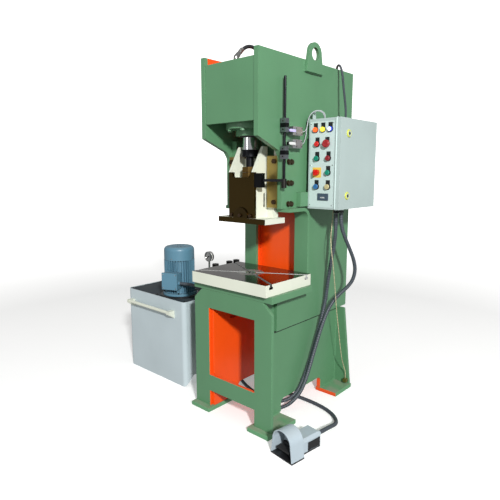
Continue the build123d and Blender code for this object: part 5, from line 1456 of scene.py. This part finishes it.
class PRESS_OT_power_pack(PressStep, bpy.types.Operator):
    """Finish the tank, the motor and the valves"""

    bl_idname = "press.power_pack"
    bl_label = "Power pack"

    def execute(self, context):
        edge = sizes().sheet_edge
        fine = sizes().fine_edge
        eased("tank", edge, tank_paint)
        eased("tank_lid", edge, "lid_dark")
        eased("motor_body", fine, "motor_blue")
        coat("fan_cowl", "motor_blue")
        coat("motor_rotor", "dark_steel")
        eased("valve_manifold", fine, manifold_finish)
        coat("gauge_needle", "black_plastic")
        self.motor_fittings()
        self.lid_fittings()
        self.gauge()
        self.hose_ends()
        return {"FINISHED"}

    def motor_fittings(self):
        """Flange bolts and gasket, the terminal box's lid with its screws, and the cowl's screws."""
        axis = middle("fan_cowl")
        foot = Vector((axis.x, axis.y, low("motor_body").z))
        flange_top = foot + Z_AXIS * FLANGE_THICKNESS
        bolts = bmesh.new()
        for out in round_motor(45):
            hex_head(bolts, flange_top + out * FLANGE_BOLT_CIRCLE, Z_AXIS, *FLANGE_BOLT)
        piece("motor_bolts", bolts, "frame", "dark_steel", slot="black_steel")
        box_foot = flange_top + Vector((0, -TERMINAL_BOX_FRONT, TERMINAL_BOX_RISE))
        swing = Matrix.Rotation(TERMINAL_BOX_TURN, 3, "Z")
        lid = bmesh.new()
        block(lid, *(box_foot + Vector(corner) * MM for corner in TERMINAL_LID))
        ease(lid, 2 * MM)
        bmesh.ops.rotate(lid, cent=axis, matrix=swing, verts=lid.verts)
        piece("terminal_lid", lid, "frame", "motor_blue", slot="motor_blue")
        screws = bmesh.new()
        for place in TERMINAL_SCREWS:
            screw(screws, box_foot + Vector(place) * MM, -Y_AXIS, sizes().screw)
        bmesh.ops.rotate(screws, cent=axis, matrix=swing, verts=screws.verts)
        cowl_foot = Vector((axis.x, axis.y, low("fan_cowl").z + COWL_SCREW_RISE))
        for out in round_motor(20):
            screw(screws, cowl_foot + out * COWL_RADIUS, out, sizes().screw)
        piece("motor_screws", screws, "frame", "ground_steel", slot="ground_steel")
        ring = bmesh.new()
        turned(ring, MOTOR_GASKET, foot, Z_AXIS, LARGE_ROUND)
        piece("motor_gasket", ring, "frame", "black_plastic", slot="black_plastic")

    def lid_fittings(self):
        """Screws round the lid and the filler's cap."""
        corner = low("tank_lid")
        opposite = high("tank_lid")
        screws = bmesh.new()
        for across, along in LID_SCREWS:
            place = Vector((corner.x + across * (opposite.x - corner.x),
                            corner.y + along * (opposite.y - corner.y), opposite.z))
            screw(screws, place, Z_AXIS, sizes().screw * 1.6)
        piece("lid_screws", screws, "frame", "dark_steel", slot="black_steel")
        cap = bmesh.new()
        across, along = FILLER_PLACE
        seat = Vector((corner.x + across, corner.y + along, opposite.z))
        turned(cap, FILLER_CAP, seat, Z_AXIS, SMALL_ROUND)
        piece("filler_cap", cap, "frame", "black_plastic", slot="black_plastic")

    def gauge(self):
        """The gauge's dial with its ticks and figures."""
        hub = Vector((middle("valve_manifold").x, low("gauge_needle").y + 4 * MM,
                      high("valve_manifold").z - GAUGE_RADIUS))
        dial = bmesh.new()
        turned(dial, GAUGE_DIAL, hub, -Y_AXIS, LARGE_ROUND)
        piece("gauge_dial", dial, "frame", "dial_white", slot="cream_plastic")
        ink = hub - Y_AXIS * MM
        ticks = bmesh.new()
        for index in range(GAUGE_TICKS + 1):
            out = on_dial(index / GAUGE_TICKS)
            length = (3 if index % 5 else 6) * MM
            place = Matrix.Translation(ink + out * (GAUGE_TICK_RIM - length / 2)) @ turn_to(out)
            stroke = Matrix.Diagonal((*GAUGE_TICK, length, 1))
            bmesh.ops.create_cube(ticks, size=1, matrix=place @ stroke)
        piece("gauge_ticks", ticks, "frame", "black_plastic", slot="black_plastic")
        for index, figure in enumerate(GAUGE_FIGURES):
            centre = ink + on_dial(index / (len(GAUGE_FIGURES) - 1)) * GAUGE_FIGURE_RADIUS
            place = Matrix.Translation(centre) @ Matrix.Rotation(math.pi / 2, 4, "X")
            lettered(f"gauge_figure_{index}", str(figure), GAUGE_FIGURE, place, "frame", "black_plastic")

    def hose_ends(self):
        """Crimped ends on the hydraulic hoses."""
        bm = bmesh.new()
        for points in (CAP_HOSE, SIDE_HOSE):
            for end, beside in ((points[0], points[1]), (points[-1], points[-2])):
                direction = (spot(*beside) - spot(*end)).normalized()
                ferrule(bm, spot(*end) - direction * 6 * MM, direction, *HOSE_END)
        piece("hose_ends", bm, "frame", "ground_steel", slot="ground_steel")


class PRESS_OT_pedal(PressStep, bpy.types.Operator):
    """Finish the foot pedal"""

    bl_idname = "press.pedal"
    bl_label = "Foot pedal"

    def execute(self, context):
        edge = sizes().sheet_edge
        eased("pedal_base", edge, "black_plastic")
        eased("pedal_housing", edge, "pedal_grey")
        eased("pedal_treadle", edge, "rubber")
        return {"FINISHED"}


STEPS = (PRESS_OT_stage, PRESS_OT_cords, PRESS_OT_frame, PRESS_OT_table, PRESS_OT_cylinder, PRESS_OT_slide,
         PRESS_OT_trip_gear, PRESS_OT_panel, PRESS_OT_power_pack, PRESS_OT_pedal)


class PRESS_PT_finish(bpy.types.Panel):
    """The steps of the finish, with their colours and sizes"""

    bl_idname = "PRESS_PT_finish"
    bl_label = "Press finish"
    bl_space_type = "VIEW_3D"
    bl_region_type = "UI"
    bl_category = "Press"

    def draw(self, context):
        for step in STEPS:
            self.layout.operator(step.bl_idname)
        for group in (context.scene.press_colours, context.scene.press_sizes, context.scene.press_stage):
            for key in group.bl_rna.properties.keys():
                if key not in ("rna_type", "name"):
                    self.layout.prop(group, key)


CLASSES = (PressColours, PressSizes, PressStage, *STEPS, PRESS_PT_finish)


def register():
    """Registers the classes and hangs their properties on the scene."""
    for kind in CLASSES:
        bpy.utils.register_class(kind)
    bpy.types.Scene.press_colours = PointerProperty(type=PressColours)
    bpy.types.Scene.press_sizes = PointerProperty(type=PressSizes)
    bpy.types.Scene.press_stage = PointerProperty(type=PressStage)


def unregister():
    """Undoes register."""
    del bpy.types.Scene.press_colours
    del bpy.types.Scene.press_sizes
    del bpy.types.Scene.press_stage
    for kind in reversed(CLASSES):
        bpy.utils.unregister_class(kind)


def main():
    """Runs every step."""
    register()
    for step in STEPS:
        group, name = step.bl_idname.split(".")
        getattr(getattr(bpy.ops, group), name)()


if __name__ == "__main__":
    main()
